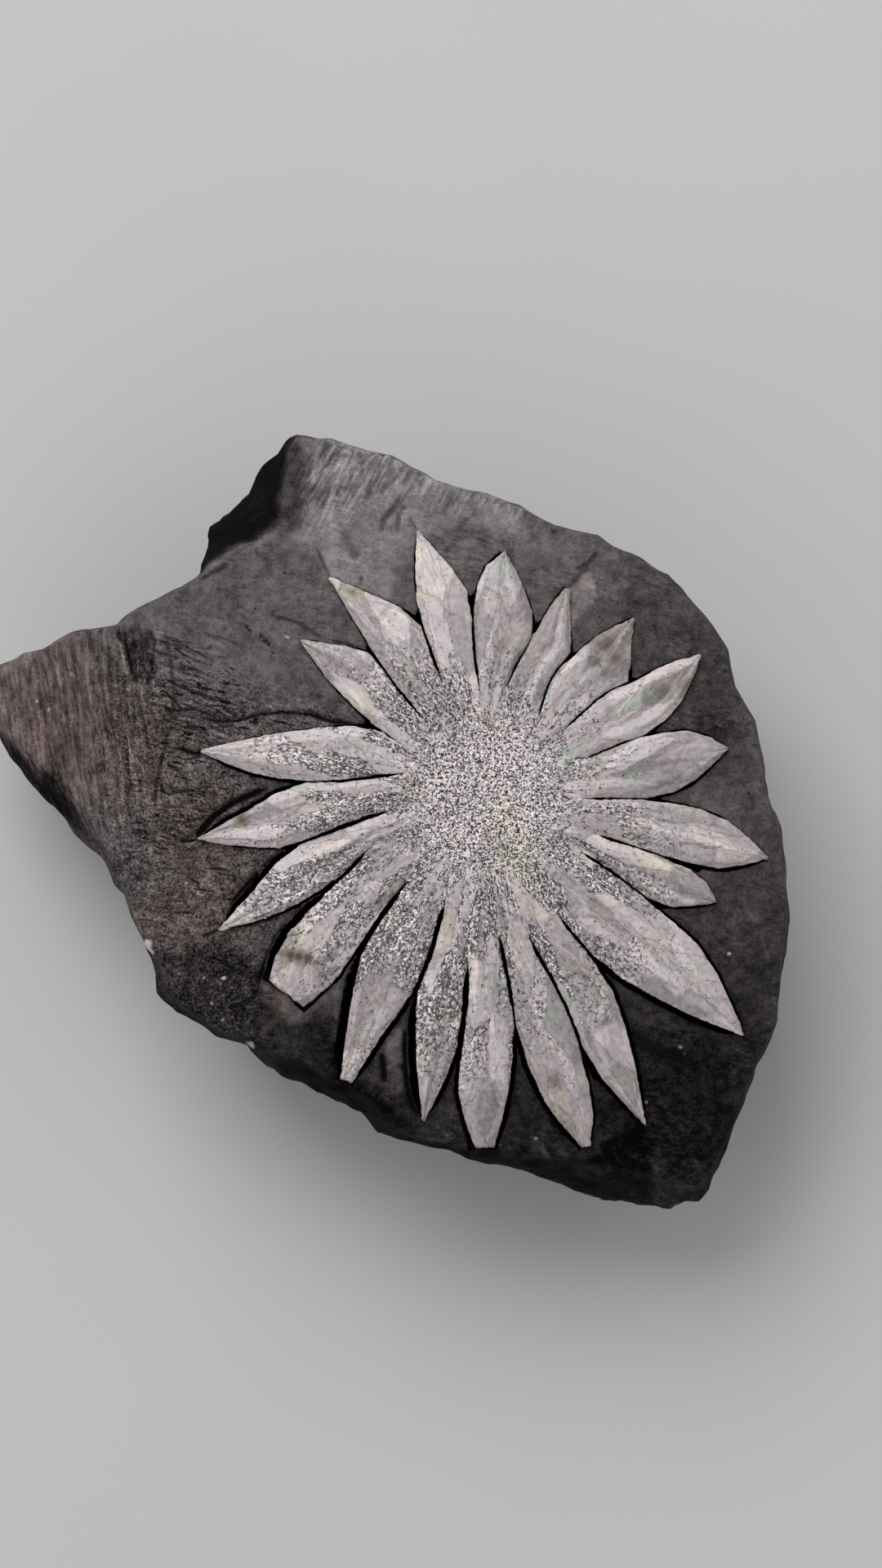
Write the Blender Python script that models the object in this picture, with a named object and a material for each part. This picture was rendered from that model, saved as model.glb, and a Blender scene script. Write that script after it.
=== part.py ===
"""Chrysanthemum stone: a dark rock slab with a pale crystal flower grown in its face.

The slab lies on its flat back with the flower up. Plan sizes are in millimetres from the heart
of the flower, with +X to the right and +Y to the top of the face, and are made metres at the end.
"""
import math

import bmesh
import bpy
from mathutils import Vector, noise

MM = 0.001

# Slab
HEART_HEIGHT = 20.0       # height of the face at the heart of the flower
FACE_DOME = 0.0016        # fall of the face per square millimetre of distance from the heart
FACE_WAVE = 0.30          # height of the slow waves in the face
FACE_WAVE_LENGTH = 9.0
BEVEL_DROP = 0.8          # drop from the face to the widest line where the bevel is narrow
BEVEL_SLOPE = 1.25        # further drop per millimetre of bevel width
SIDE_ROUGHNESS = 1.1      # in and out of the sides
SIDE_SINK = 0.55          # how far in the middle of that roughness lies
SIDE_LUMP = 5.0           # length of the lumps of the sides

# Slab edge seen from the front, clockwise from the peak: x, y and the width of the bevel there
SLAB_EDGE = (
    (-15.5, 29.8, 0.5), (-13.0, 29.5, 0.4), (-9.7, 28.4, 0.4), (-7.7, 28.1, 0.4),
    (-4.5, 26.3, 0.4), (-2.3, 25.5, 0.4), (0.3, 24.9, 0.4), (3.0, 23.7, 0.4),
    (5.7, 22.3, 0.4), (9.2, 21.5, 0.4), (10.5, 20.5, 0.4), (15.0, 18.3, 0.4),
    (16.3, 16.9, 0.4), (18.7, 14.0, 0.4), (19.9, 12.0, 0.4), (20.5, 9.0, 0.4),
    (22.2, 6.2, 0.4), (22.9, 2.7, 0.4), (23.3, 0.0, 0.4), (24.1, -2.3, 0.4),
    (24.7, -6.3, 0.4), (24.9, -10.3, 0.4), (24.5, -13.3, 0.4), (24.2, -17.0, 0.4),
    (24.0, -18.9, 0.4), (22.3, -22.5, 0.4), (21.5, -25.0, 0.5), (20.3, -28.0, 0.5),
    (19.1, -31.0, 0.8), (18.7, -32.7, 1.5), (17.7, -33.6, 2.0), (15.3, -34.3, 2.9),
    (13.0, -34.1, 3.3), (9.3, -33.6, 3.4), (6.3, -32.0, 2.4), (3.0, -31.0, 1.9),
    (-0.3, -30.2, 1.3), (-3.0, -29.2, 1.0), (-6.3, -28.5, 1.1), (-8.9, -27.7, 1.5),
    (-10.3, -26.0, 1.7), (-12.0, -25.3, 1.8), (-15.0, -24.0, 2.2), (-18.0, -22.5, 2.0),
    (-19.5, -20.4, 0.6), (-22.2, -19.7, 0.8), (-25.5, -17.9, 1.2), (-27.1, -16.2, 1.4),
    (-27.7, -13.3, 1.0), (-29.0, -10.3, 0.4), (-29.8, -8.0, 0.4), (-32.1, -4.8, 1.5),
    (-33.8, -2.9, 1.7), (-35.7, -0.7, 1.9), (-38.0, 1.3, 1.8), (-39.7, 3.1, 1.7),
    (-41.0, 5.6, 1.4), (-41.5, 8.2, 1.0), (-40.8, 10.6, 0.7), (-38.3, 12.0, 0.4),
    (-36.7, 12.3, 0.4), (-34.1, 13.6, 0.4), (-30.3, 14.3, 0.4), (-28.7, 15.5, 0.4),
    (-25.0, 17.3, 0.5), (-23.7, 18.3, 0.6), (-23.3, 20.0, 2.2), (-22.9, 22.3, 3.6),
    (-21.3, 23.5, 4.2), (-19.7, 25.1, 4.3), (-18.0, 27.5, 2.5), (-16.7, 29.1, 1.2),
)
EDGE_SPACING = 2.6        # longest stretch of edge between two columns of faces

# Where the face falls away more steeply: direction in degrees, distance where the fall starts,
# and the fall per millimetre beyond it
FACE_FALLS = (
    (112.0, 17.0, 0.13),
    (172.0, 25.0, 0.20),
    (-150.0, 19.0, 0.20),
    (-90.0, 24.0, 0.14),
    (-45.0, 17.0, 0.17),
    (35.0, 15.0, 0.10),
)

# Sections of the side from the base to the widest line, as shares of the height there
SIDE_LEVELS = (0.0, 0.12, 0.3, 0.5, 0.7, 0.88, 1.0)
SIDE_BREAK = 0.5          # level where the side bends in more
# How far the broken side leans in under the slab, in degrees: direction from the heart, lean
# above the bend, and lean below it
SIDE_LEANS = (
    (-180.0, 28.0, 40.0),
    (-166.0, 22.0, 30.0),
    (-150.0, 8.0, 34.0),
    (-126.0, 18.0, 20.0),
    (-108.0, 4.0, 28.0),
    (-85.0, 12.0, 16.0),
    (-62.0, 20.0, 38.0),
    (-40.0, 8.0, 20.0),
    (-18.0, 16.0, 26.0),
    (2.0, 5.0, 22.0),
    (20.0, 14.0, 14.0),
    (38.0, 5.0, 32.0),
    (60.0, 13.0, 18.0),
    (82.0, 4.0, 34.0),
    (104.0, 16.0, 22.0),
    (118.0, 9.0, 38.0),
    (130.0, 3.0, 22.0),
    (141.0, 8.0, 28.0),
    (155.0, 15.0, 24.0),
    (168.0, 24.0, 34.0),
    (180.0, 28.0, 40.0),
)
# Flat chips off the corners and off the underside: the way each one faces in degrees, the height
# where it leaves the corner, and how far it leans in under the slab in degrees
CHIPS = (
    (-8.0, 9.0, 34.0),
    (117.0, 10.0, 28.0),
    (186.0, 6.0, 48.0),
    (304.0, 5.0, 47.0),
    (40.0, 4.0, 66.0),
    (98.0, 3.6, 67.0),
    (228.0, 3.2, 66.0),
    (283.0, 2.6, 72.0),
)
# Rings of the face from its rim to the heart, as shares of the distance from the heart
FACE_RINGS = (1.0, 0.94, 0.86, 0.77, 0.67, 0.56, 0.44, 0.3)
MIDDLE_RADIUS = 3.0       # round patch in the middle of the base and of the face
BEVEL_MIDDLE = (0.45, 0.38)   # middle ring of the bevel: shares of its width and of its drop

# Flower
PETAL_DEPTH = (2.6, 1.1)      # depth of a petal below the face, at its root and at its tip
HEART_DEPTH = 3.2
HEART_RISE = 0.62             # height of the heart above the face
HEART_LUMP = 0.32
HEART_LUMP_LENGTH = 2.4
HEART_CROWN = 0.35            # share of its rise that the heart loses towards its rim
HEART_DISH = 0.3              # share of its depth that it loses there
HEART_RINGS = (1.0, 0.86, 0.7, 0.53, 0.35, 0.15)   # rings of its top, as shares of the rim
HEART_BOWL_RINGS = (0.2, 0.9)                      # rings below it
HEART_RIM_STEPS = 3           # points of the rim for each groove
PETAL_STATIONS = (0.0, 0.14, 0.27, 0.4, 0.53, 0.66, 0.78, 0.89, 1.0)
# Height of a petal's blades along it, as a share of their height in the middle
BLADE_RISE = ((0.0, -0.6), (0.14, 0.75), (0.4, 1.0), (0.78, 0.95), (1.0, 0.45))
# Long crystal blades across a petal, from its counter-clockwise edge to the other: place across
# from -1 to 1, and height above the face
BLADES = (
    ((-1.0, 0.30), (-0.70, 0.70), (-0.22, 0.50), (0.15, 0.84), (0.60, 0.60), (1.0, 0.28)),
    ((-1.0, 0.26), (-0.62, 0.74), (-0.18, 0.82), (0.25, 0.50), (0.70, 0.70), (1.0, 0.30)),
    ((-1.0, 0.32), (-0.75, 0.56), (-0.32, 0.84), (0.12, 0.62), (0.58, 0.80), (1.0, 0.26)),
)
# A petal's keel, from its clockwise side to the other: place across, and share of the depth
PETAL_KEEL = ((0.9, 0.75), (0.0, 1.0), (-0.9, 0.75))
PETAL_EDGE_STEPS = 6          # points of a petal's edge for each one given
POINTED_TIP = 0.16            # width of a petal's tip where it isn't broken

# Petals clockwise from the top one: tip, the bulge of the edge on the counter-clockwise side,
# the bulge on the clockwise side, and the width of the tip
PETALS = (
    ((-5.5, 21.6), (-5.8, 18.3), (-2.4, 18.0), POINTED_TIP),
    ((1.5, 19.9), (-0.2, 18.5), (3.0, 17.3), POINTED_TIP),
    ((6.6, 16.9), (5.0, 15.2), (6.9, 14.3), 0.4),
    ((12.1, 14.5), (9.3, 13.2), (11.7, 11.7), POINTED_TIP),
    ((17.5, 11.5), (14.7, 10.8), (16.2, 8.1), POINTED_TIP),
    ((19.7, 3.9), (17.0, 5.3), (16.9, 1.2), POINTED_TIP),
    ((23.0, -5.0), (19.3, -1.7), (19.3, -5.9), POINTED_TIP),
    ((18.8, -8.6), (17.7, -6.7), (16.3, -9.0), POINTED_TIP),
    ((21.1, -19.5), (18.0, -12.9), (16.3, -17.7), POINTED_TIP),
    ((13.0, -26.9), (11.8, -20.3), (10.5, -24.2), POINTED_TIP),
    ((8.2, -28.7), (8.8, -25.7), (4.7, -24.7), 0.7),
    ((-0.1, -28.7), (1.8, -24.3), (-2.2, -24.7), 1.6),
    ((-5.1, -26.5), (-3.7, -23.8), (-5.7, -21.0), POINTED_TIP),
    ((-11.4, -23.2), (-8.5, -19.5), (-11.2, -18.0), 1.0),
    ((-16.3, -16.1), (-12.3, -15.0), (-16.7, -12.0), 3.6),
    ((-21.8, -10.9), (-17.3, -9.7), (-19.0, -7.8), POINTED_TIP),
    ((-23.5, -3.5), (-19.7, -4.1), (-19.7, -1.3), POINTED_TIP),
    ((-23.2, 3.7), (-19.7, 2.1), (-16.7, 5.2), POINTED_TIP),
    ((-15.1, 12.7), (-12.7, 9.3), (-11.7, 12.3), POINTED_TIP),
    ((-12.7, 17.8), (-10.9, 14.5), (-8.7, 16.2), POINTED_TIP),
)
# Groove on the clockwise side of each petal: where it forks round the dark wedge outside, its
# bend, and where it ends at the heart
GROOVES = (
    ((-1.1, 15.8), (-1.0, 11.7), (-0.5, 8.5)),
    ((4.1, 13.8), (3.0, 11.7), (1.7, 9.0)),
    ((7.0, 11.5), (5.3, 9.7), (4.1, 6.0)),
    ((12.0, 9.5), (9.3, 8.1), (6.2, 5.3)),
    ((13.7, 5.2), (11.0, 4.3), (7.5, 2.8)),
    ((14.0, -0.2), (10.9, -0.2), (7.8, -0.2)),
    ((15.7, -5.4), (12.3, -4.2), (8.9, -3.1)),
    ((13.9, -8.9), (11.0, -6.7), (7.7, -4.5)),
    ((10.0, -14.5), (8.3, -12.7), (5.7, -9.5)),
    ((8.2, -21.7), (6.5, -17.0), (3.5, -11.5)),
    ((2.5, -20.0), (2.0, -16.0), (1.1, -11.3)),
    ((-2.3, -21.2), (-1.7, -17.3), (-1.5, -13.5)),
    ((-5.8, -16.2), (-4.5, -12.7), (-3.3, -8.3)),
    ((-10.3, -12.5), (-8.3, -9.5), (-6.5, -7.0)),
    ((-13.1, -7.7), (-11.3, -6.1), (-9.3, -4.2)),
    ((-16.2, -4.3), (-12.0, -2.6), (-7.7, -1.1)),
    ((-15.5, 1.1), (-11.0, 1.3), (-6.5, 1.9)),
    ((-9.5, 5.9), (-8.0, 4.9), (-6.7, 4.1)),
    ((-9.3, 11.7), (-7.3, 8.8), (-5.1, 6.3)),
    ((-5.5, 14.5), (-4.3, 11.3), (-3.5, 8.9)),
)
PETAL_INSIDE_HEART = 0.55     # where a petal starts inside the heart, as a share of its groove's end
# Width of the grooves: the narrowest, what is added on the side named, and that side's direction
SLOT_WIDTH = (0.34, 0.24, -100.0)      # between two petals
POCKET_GROOVE = (0.32, 0.26, -150.0)   # between a petal and the rock
POCKET_CLEARANCE = 0.3                 # below the petals
POCKET_HEART_RINGS = (0.2, 1.04)       # the pocket under the heart, as shares of its rim
CUTTER_HEADROOM = 4.0                  # how far the pocket's cutter stands above the face


def direction(degrees):
    return Vector((math.cos(math.radians(degrees)), math.sin(math.radians(degrees))))


def groove_width(spec, towards):
    """Grooves are cut wider on one side of the flower."""
    narrowest, added, side = spec
    return narrowest + added * max(0.0, towards.normalized().dot(direction(side)))


def face_height(x, y):
    """Height of the slab's face: a low dome with a few places where it falls away."""
    place = Vector((x, y))
    height = HEART_HEIGHT - FACE_DOME * place.length_squared
    for degrees, start, fall in FACE_FALLS:
        height -= fall * max(0.0, place.dot(direction(degrees)) - start)
    wave = Vector((x / FACE_WAVE_LENGTH, y / FACE_WAVE_LENGTH, 0.0))
    return height + FACE_WAVE * noise.noise(wave)


def smooth_path(points, steps, closed=False):
    """Points along a Catmull-Rom curve through the given ones."""
    count = len(points)
    path = []
    spans = count if closed else count - 1
    for k in range(spans):
        before = points[(k - 1) % count] if closed else points[max(k - 1, 0)]
        start = points[k]
        end = points[(k + 1) % count]
        after = points[(k + 2) % count] if closed else points[min(k + 2, count - 1)]
        for step in range(steps):
            t = step / steps
            path.append(0.5 * (2 * start + (end - before) * t
                               + (2 * before - 5 * start + 4 * end - after) * t ** 2
                               + (3 * start - before - 3 * end + after) * t ** 3))
    if not closed:
        path.append(points[-1])
    return path


def point_along(path, share):
    """The point at a share of a path's length."""
    lengths = [(b - a).length for a, b in zip(path, path[1:])]
    target = share * sum(lengths)
    for k, length in enumerate(lengths):
        if target <= length or k == len(lengths) - 1:
            return path[k].lerp(path[k + 1], min(target / length, 1.0))
        target -= length


def value_at(table, share):
    """Straight-line value in a table of (share, value) rows."""
    for (t0, v0), (t1, v1) in zip(table, table[1:]):
        if share <= t1:
            return v0 + (v1 - v0) * (share - t0) / (t1 - t0)
    return table[-1][1]


def skin(bm, rings):
    """Close a body over rings of equal length, and give back the caps on the first and the last."""
    loops = [[bm.verts.new(point) for point in ring] for ring in rings]
    for lower, upper in zip(loops, loops[1:]):
        for k in range(len(lower)):
            after = (k + 1) % len(lower)
            bm.faces.new((lower[k], lower[after], upper[after], upper[k]))
    return [bm.faces.new(reversed(loops[0])), bm.faces.new(loops[-1])]


def make_object(name, bm, collection, material=None):
    """Turn a body drawn in millimetres about the heart into an object in metres."""
    bmesh.ops.recalc_face_normals(bm, faces=bm.faces)
    bmesh.ops.triangulate(bm, faces=bm.faces, quad_method="SHORT_EDGE", ngon_method="BEAUTY")
    bmesh.ops.translate(bm, vec=-slab_centre(), verts=bm.verts)
    bmesh.ops.scale(bm, vec=(MM, MM, MM), verts=bm.verts)
    mesh = bpy.data.meshes.new(name)
    bm.to_mesh(mesh)
    bm.free()
    if material:
        mesh.materials.append(material)
    obj = bpy.data.objects.new(name, mesh)
    collection.objects.link(obj)
    return obj


def slab_centre():
    """The middle of the slab's plan, which becomes the origin."""
    xs = [row[0] for row in SLAB_EDGE]
    ys = [row[1] for row in SLAB_EDGE]
    return Vector(((min(xs) + max(xs)) / 2, (min(ys) + max(ys)) / 2, 0.0))


def slab_columns():
    """Points of the slab's widest line and of its rim, one pair for each column of faces."""
    edge = [(Vector(row[:2]), row[2]) for row in SLAB_EDGE]
    columns = []
    for k, (point, bevel) in enumerate(edge):
        following, next_bevel = edge[(k + 1) % len(edge)]
        pieces = max(1, round((following - point).length / EDGE_SPACING))
        for piece in range(pieces):
            share = piece / pieces
            columns.append((point.lerp(following, share), bevel + (next_bevel - bevel) * share))
    outline = [point for point, bevel in columns]
    rim = []
    for k, (point, bevel) in enumerate(columns):
        along = (point - outline[k - 1]).normalized()
        along += (outline[(k + 1) % len(outline)] - point).normalized()
        inward = Vector((along.y, -along.x)).normalized()
        rim.append(point + inward * bevel)
    return outline, rim


def side_lean(azimuth):
    """Lean of the side above and below its bend, for a direction from the heart."""
    for (a0, *before), (a1, *after) in zip(SIDE_LEANS, SIDE_LEANS[1:]):
        if azimuth <= a1:
            share = (azimuth - a0) / (a1 - a0)
            return [math.tan(math.radians(b + (a - b) * share)) for b, a in zip(before, after)]


def side_point(point, height, level):
    """A point of the side below one of the widest line, drawn in and roughened."""
    z = height * level
    upper, lower = side_lean(math.degrees(math.atan2(point.y, point.x)))
    bend = height * SIDE_BREAK
    drawn_in = upper * (height - max(z, bend)) + lower * max(0.0, bend - z)
    if 0.0 < level < 1.0:
        lump = noise.noise(Vector((point.x, point.y, z)) / SIDE_LUMP)
        drawn_in += SIDE_SINK - SIDE_ROUGHNESS * lump
    return (point - point.normalized() * drawn_in).to_3d() + Vector((0.0, 0.0, z))


def chip(bm, outline, facing, height, lean):
    """Take a flat chip off the side, from a height on the slab's edge to in under the base."""
    outward = direction(facing)
    reach = max(point.dot(outward) for point in outline)
    start = Vector((outward.x * reach, outward.y * reach, height))
    slope = math.radians(lean)
    normal = Vector((outward.x * math.cos(slope), outward.y * math.cos(slope), -math.sin(slope)))
    everything = bm.verts[:] + bm.edges[:] + bm.faces[:]
    cut = bmesh.ops.bisect_plane(bm, geom=everything, plane_co=start, plane_no=normal, clear_outer=True)
    open_edges = [item for item in cut["geom_cut"] if isinstance(item, bmesh.types.BMEdge)]
    bmesh.ops.holes_fill(bm, edges=open_edges, sides=0)


def make_slab(collection, material):
    """The rock: a flat base, rough sides, a bevel and the domed face."""
    outline, rim = slab_columns()
    widest = []
    for point, inner in zip(outline, rim):
        drop = BEVEL_DROP + BEVEL_SLOPE * (point - inner).length
        widest.append(face_height(inner.x, inner.y) - drop)
    rings = [[(point.normalized() * MIDDLE_RADIUS).to_3d() for point in outline]]
    for level in SIDE_LEVELS:
        rings.append([side_point(point, height, level) for point, height in zip(outline, widest)])
    across, down = BEVEL_MIDDLE
    middle = []
    for point, inner, height in zip(outline, rim, widest):
        place = point.lerp(inner, 1.0 - across)
        top = face_height(inner.x, inner.y)
        middle.append(Vector((place.x, place.y, top + (height - top) * down)))
    rings.append(middle)
    for share in FACE_RINGS:
        ring = []
        for inner in rim:
            x = inner.x * share
            y = inner.y * share
            ring.append(Vector((x, y, face_height(x, y))))
        rings.append(ring)
    rings.append([patch + Vector((0.0, 0.0, face_height(patch.x, patch.y))) for patch in rings[0]])
    bm = bmesh.new()
    caps = skin(bm, rings)
    bmesh.ops.poke(bm, faces=caps)
    for facing, height, lean in CHIPS:
        chip(bm, outline, facing, height, lean)
    return make_object("matrix_rock", bm, collection, material)


def petal_axis(index):
    """The way a petal points, from the heart's rim to its tip."""
    root = (Vector(GROOVES[index - 1][2]) + Vector(GROOVES[index][2])) / 2
    return (Vector(PETALS[index][0]) - root).normalized()


def petal_edges(index):
    """The two long edges of a petal as smooth paths from inside the heart to the tip."""
    tip, *bulges, tip_width = PETALS[index]
    axis = petal_axis(index)
    edges = []
    for turn, groove, bulge in ((-1, GROOVES[index - 1], bulges[0]), (1, GROOVES[index], bulges[1])):
        fork, bend, end = (Vector(point) for point in groove)
        line = [end * PETAL_INSIDE_HEART, end, bend, fork]
        half_slot = groove_width(SLOT_WIDTH, end) / 2
        points = []
        for k, point in enumerate(line):
            along = (line[min(k + 1, 3)] - line[max(k - 1, 0)]).normalized()
            points.append(point + Vector((-along.y, along.x)) * turn * half_slot)
        points.append(Vector(bulge))
        points.append(Vector(tip) + Vector((axis.y, -axis.x)) * turn * tip_width / 2)
        edges.append(smooth_path(points, PETAL_EDGE_STEPS))
    return edges


def petal_section(left, right, share, blades):
    """One section across a petal: its blades above and its keel below."""
    rise = value_at(BLADE_RISE, share)
    depth = PETAL_DEPTH[0] + (PETAL_DEPTH[1] - PETAL_DEPTH[0]) * share
    section = []
    for across, height in blades:
        place = left.lerp(right, (across + 1) / 2)
        section.append(Vector((place.x, place.y, face_height(place.x, place.y) + height * rise)))
    for across, fall in PETAL_KEEL:
        place = left.lerp(right, (across + 1) / 2)
        section.append(Vector((place.x, place.y, face_height(place.x, place.y) - depth * fall)))
    return section


def make_petal(index, collection):
    left_edge, right_edge = petal_edges(index)
    blades = BLADES[index % len(BLADES)]
    rings = []
    for share in PETAL_STATIONS:
        left = point_along(left_edge, share)
        right = point_along(right_edge, share)
        rings.append(petal_section(left, right, share, blades))
    bm = bmesh.new()
    skin(bm, rings)
    return make_object(f"petal_guide_{index + 1:02d}", bm, collection)


def make_petal_cutter(index, collection):
    """The petal's plan grown by the groove, from below its keel to above the face."""
    left_edge, right_edge = petal_edges(index)
    axis = petal_axis(index)
    left_side = Vector((-axis.y, axis.x))
    left_gap = groove_width(POCKET_GROOVE, left_side)
    right_gap = groove_width(POCKET_GROOVE, -left_side)
    rings = []
    for share in PETAL_STATIONS:
        left = point_along(left_edge, share)
        right = point_along(right_edge, share)
        outward = (left - right).normalized()
        left += outward * left_gap
        right -= outward * right_gap
        if share == PETAL_STATIONS[-1]:
            left += axis * POCKET_GROOVE[0]
            right += axis * POCKET_GROOVE[0]
        depth = PETAL_DEPTH[0] + (PETAL_DEPTH[1] - PETAL_DEPTH[0]) * share + POCKET_CLEARANCE
        section = []
        for place in (left, right):
            top = face_height(place.x, place.y) + CUTTER_HEADROOM
            section.append(Vector((place.x, place.y, top)))
        for place in (right, left):
            floor = face_height(place.x, place.y) - depth
            section.append(Vector((place.x, place.y, floor)))
        rings.append(section)
    bm = bmesh.new()
    skin(bm, rings)
    return make_object(f"petal_cutter_{index + 1:02d}", bm, collection)


def heart_rim():
    """The rim of the heart, a smooth line through the inner ends of the grooves."""
    ends = [Vector(groove[2]) for groove in reversed(GROOVES)]
    return smooth_path(ends, HEART_RIM_STEPS, closed=True)


def heart_ring(rim, share, height_of):
    ring = []
    for point in rim:
        x = point.x * share
        y = point.y * share
        ring.append(Vector((x, y, height_of(x, y, share))))
    return ring


def make_heart(collection, material):
    """The granular heart: lumps of small crystals above, a shallow bowl below."""
    def top(x, y, share):
        place = Vector((x, y, 0.0)) / HEART_LUMP_LENGTH
        rise = HEART_RISE * (1.0 - HEART_CROWN * share ** 2)
        return face_height(x, y) + rise + HEART_LUMP * noise.noise(place)

    def below(x, y, share):
        return face_height(x, y) - HEART_DEPTH * (1.0 - HEART_DISH * share ** 2)

    rim = heart_rim()
    rings = [heart_ring(rim, share, below) for share in HEART_BOWL_RINGS]
    rings += [heart_ring(rim, share, top) for share in HEART_RINGS]
    bm = bmesh.new()
    skin(bm, rings)
    return make_object("crystal_flower", bm, collection, material)


def make_heart_cutter(collection):
    def floor(x, y, share):
        return face_height(x, y) - HEART_DEPTH - POCKET_CLEARANCE

    def ceiling(x, y, share):
        return face_height(x, y) + CUTTER_HEADROOM

    rim = heart_rim()
    rings = [heart_ring(rim, share, floor) for share in POCKET_HEART_RINGS]
    rings.append(heart_ring(rim, POCKET_HEART_RINGS[-1], ceiling))
    bm = bmesh.new()
    skin(bm, rings)
    return make_object("heart_cutter", bm, collection)


def make_material(name, colour, roughness):
    material = bpy.data.materials.new(name)
    material.use_nodes = True
    shader = material.node_tree.nodes["Principled BSDF"]
    shader.inputs["Base Color"].default_value = (*colour, 1.0)
    shader.inputs["Roughness"].default_value = roughness
    shader.inputs["Metallic"].default_value = 0.0
    material.diffuse_color = (*colour, 1.0)
    return material


def new_collection(name, guides=False):
    collection = bpy.data.collections.new(name)
    bpy.context.scene.collection.children.link(collection)
    collection.hide_render = guides
    return collection


def as_guide(obj):
    obj.hide_render = True
    obj.display_type = "WIRE"


def add_boolean(obj, operation, collection):
    modifier = obj.modifiers.new(operation.lower(), "BOOLEAN")
    modifier.operation = operation
    modifier.solver = "EXACT"
    modifier.operand_type = "COLLECTION"
    modifier.collection = collection


def main():
    for obj in list(bpy.data.objects):
        bpy.data.objects.remove(obj, do_unlink=True)
    stone = new_collection("chrysanthemum_stone")
    blades = new_collection("petal_guides", guides=True)
    cutters = new_collection("pocket_cutters", guides=True)
    rock = make_material("dark_limestone", (0.095, 0.083, 0.08), 0.55)
    crystal = make_material("pale_crystal", (0.42, 0.385, 0.37), 0.45)

    slab = make_slab(stone, rock)
    flower = make_heart(stone, crystal)
    for index in range(len(PETALS)):
        as_guide(make_petal(index, blades))
        as_guide(make_petal_cutter(index, cutters))
    as_guide(make_heart_cutter(cutters))
    add_boolean(flower, "UNION", blades)
    add_boolean(slab, "DIFFERENCE", cutters)


main()
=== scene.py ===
# %% [markdown]
# # A chrysanthemum stone
# Pale crystals grew outwards from one point inside dark limestone mud. Much later the rock was
# split beside them, and a carver cleaned the crystals and cut a groove round each petal, which
# shows as a dark line; here that line is painted shade.
# The packed model already holds the two solids, the rock and the crystal flower, at their real
# size. This file keeps their shapes and adds what is too small for solids: crystal blades,
# sugary grains, tool marks, chips and the tones of both minerals.

import math
from functools import partialmethod

import bmesh
import bpy
import numpy as np
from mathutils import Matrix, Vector, noise


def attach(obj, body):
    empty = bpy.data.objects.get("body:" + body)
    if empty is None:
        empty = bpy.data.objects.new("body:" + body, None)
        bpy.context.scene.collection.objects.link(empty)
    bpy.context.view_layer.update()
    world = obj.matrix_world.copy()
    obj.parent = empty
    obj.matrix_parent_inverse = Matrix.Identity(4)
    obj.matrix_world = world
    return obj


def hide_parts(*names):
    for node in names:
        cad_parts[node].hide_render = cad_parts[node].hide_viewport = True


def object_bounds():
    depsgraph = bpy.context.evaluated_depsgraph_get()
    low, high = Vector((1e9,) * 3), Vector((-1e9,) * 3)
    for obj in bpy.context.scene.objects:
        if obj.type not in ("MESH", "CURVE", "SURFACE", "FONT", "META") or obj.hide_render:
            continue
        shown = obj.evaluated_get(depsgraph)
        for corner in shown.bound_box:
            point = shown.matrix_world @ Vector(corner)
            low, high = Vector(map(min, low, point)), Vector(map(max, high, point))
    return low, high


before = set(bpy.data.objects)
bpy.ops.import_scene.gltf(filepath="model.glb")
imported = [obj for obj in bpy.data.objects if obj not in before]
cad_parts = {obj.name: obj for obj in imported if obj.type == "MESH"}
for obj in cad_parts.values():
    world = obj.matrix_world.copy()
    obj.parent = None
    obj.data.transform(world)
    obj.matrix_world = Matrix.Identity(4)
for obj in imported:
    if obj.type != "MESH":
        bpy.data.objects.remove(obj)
cad_low, cad_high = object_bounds()
MM = 0.001
print("stone in mm:", [round(side / MM, 1) for side in cad_high - cad_low])

# %% [markdown]
# ## Where things are
# All shaping below is done in millimetres from the heart of the flower, because a petal is easy
# to think of from the point where it grew. Marks on the face are given where they show in an
# upright frame of 1080 by 1920 pixels, at 15 pixels to a millimetre, with the heart at (595, 975).

# %% Places on the face
HEART = Vector((8.3, 2.25, 0.0))  # the heart in the packed stone's plan, in mm
FRAME_HEART = np.array((595.0, 975.0))
PIXELS_PER_MM = 15.0


def seen_at(*pixels):
    """Turn frame pixels, as x, y, x, y ..., into millimetres from the heart."""
    spots = np.array(pixels, float).reshape(-1, 2) - FRAME_HEART
    return spots * (1.0, -1.0) / PIXELS_PER_MM


def smoothstep(low, high, values):
    share = np.clip((values - low) / (high - low), 0.0, 1.0)
    return share * share * (3.0 - 2.0 * share)


print("top left of the frame, mm from the heart:", seen_at(0, 0)[0])

# %% [markdown]
# The face of the slab is a low dome that falls away more steeply in a few directions. The rock
# and the crystals share it, so its height decides what is face and what lies down in a groove.
# It could be measured on the solids, but a formula gives it anywhere, over a gap as well.

# %% The face of the slab
FACE_FALLS = (
    (112.0, 17.0, 0.13), (172.0, 25.0, 0.20), (-150.0, 19.0, 0.20),
    (-90.0, 24.0, 0.14), (-45.0, 17.0, 0.17), (35.0, 15.0, 0.10),
)
HEART_HEIGHT = 20.0
FACE_DOME = 0.0016
FACE_WAVE = 0.30
FACE_WAVE_LENGTH = 9.0


def face_height(points):
    plan = points[:, :2]
    height = HEART_HEIGHT - FACE_DOME * (plan ** 2).sum(1)
    for degrees, start, fall in FACE_FALLS:
        way = np.array((math.cos(math.radians(degrees)), math.sin(math.radians(degrees))))
        height -= fall * np.maximum(0.0, plan @ way - start)
    waves = [noise.noise(Vector((x, y, 0.0)) / FACE_WAVE_LENGTH) for x, y in plan]
    return height + FACE_WAVE * np.array(waves)


print("height of the face at the heart, mm:", face_height(np.zeros((1, 2)))[0].round(2))

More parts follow.
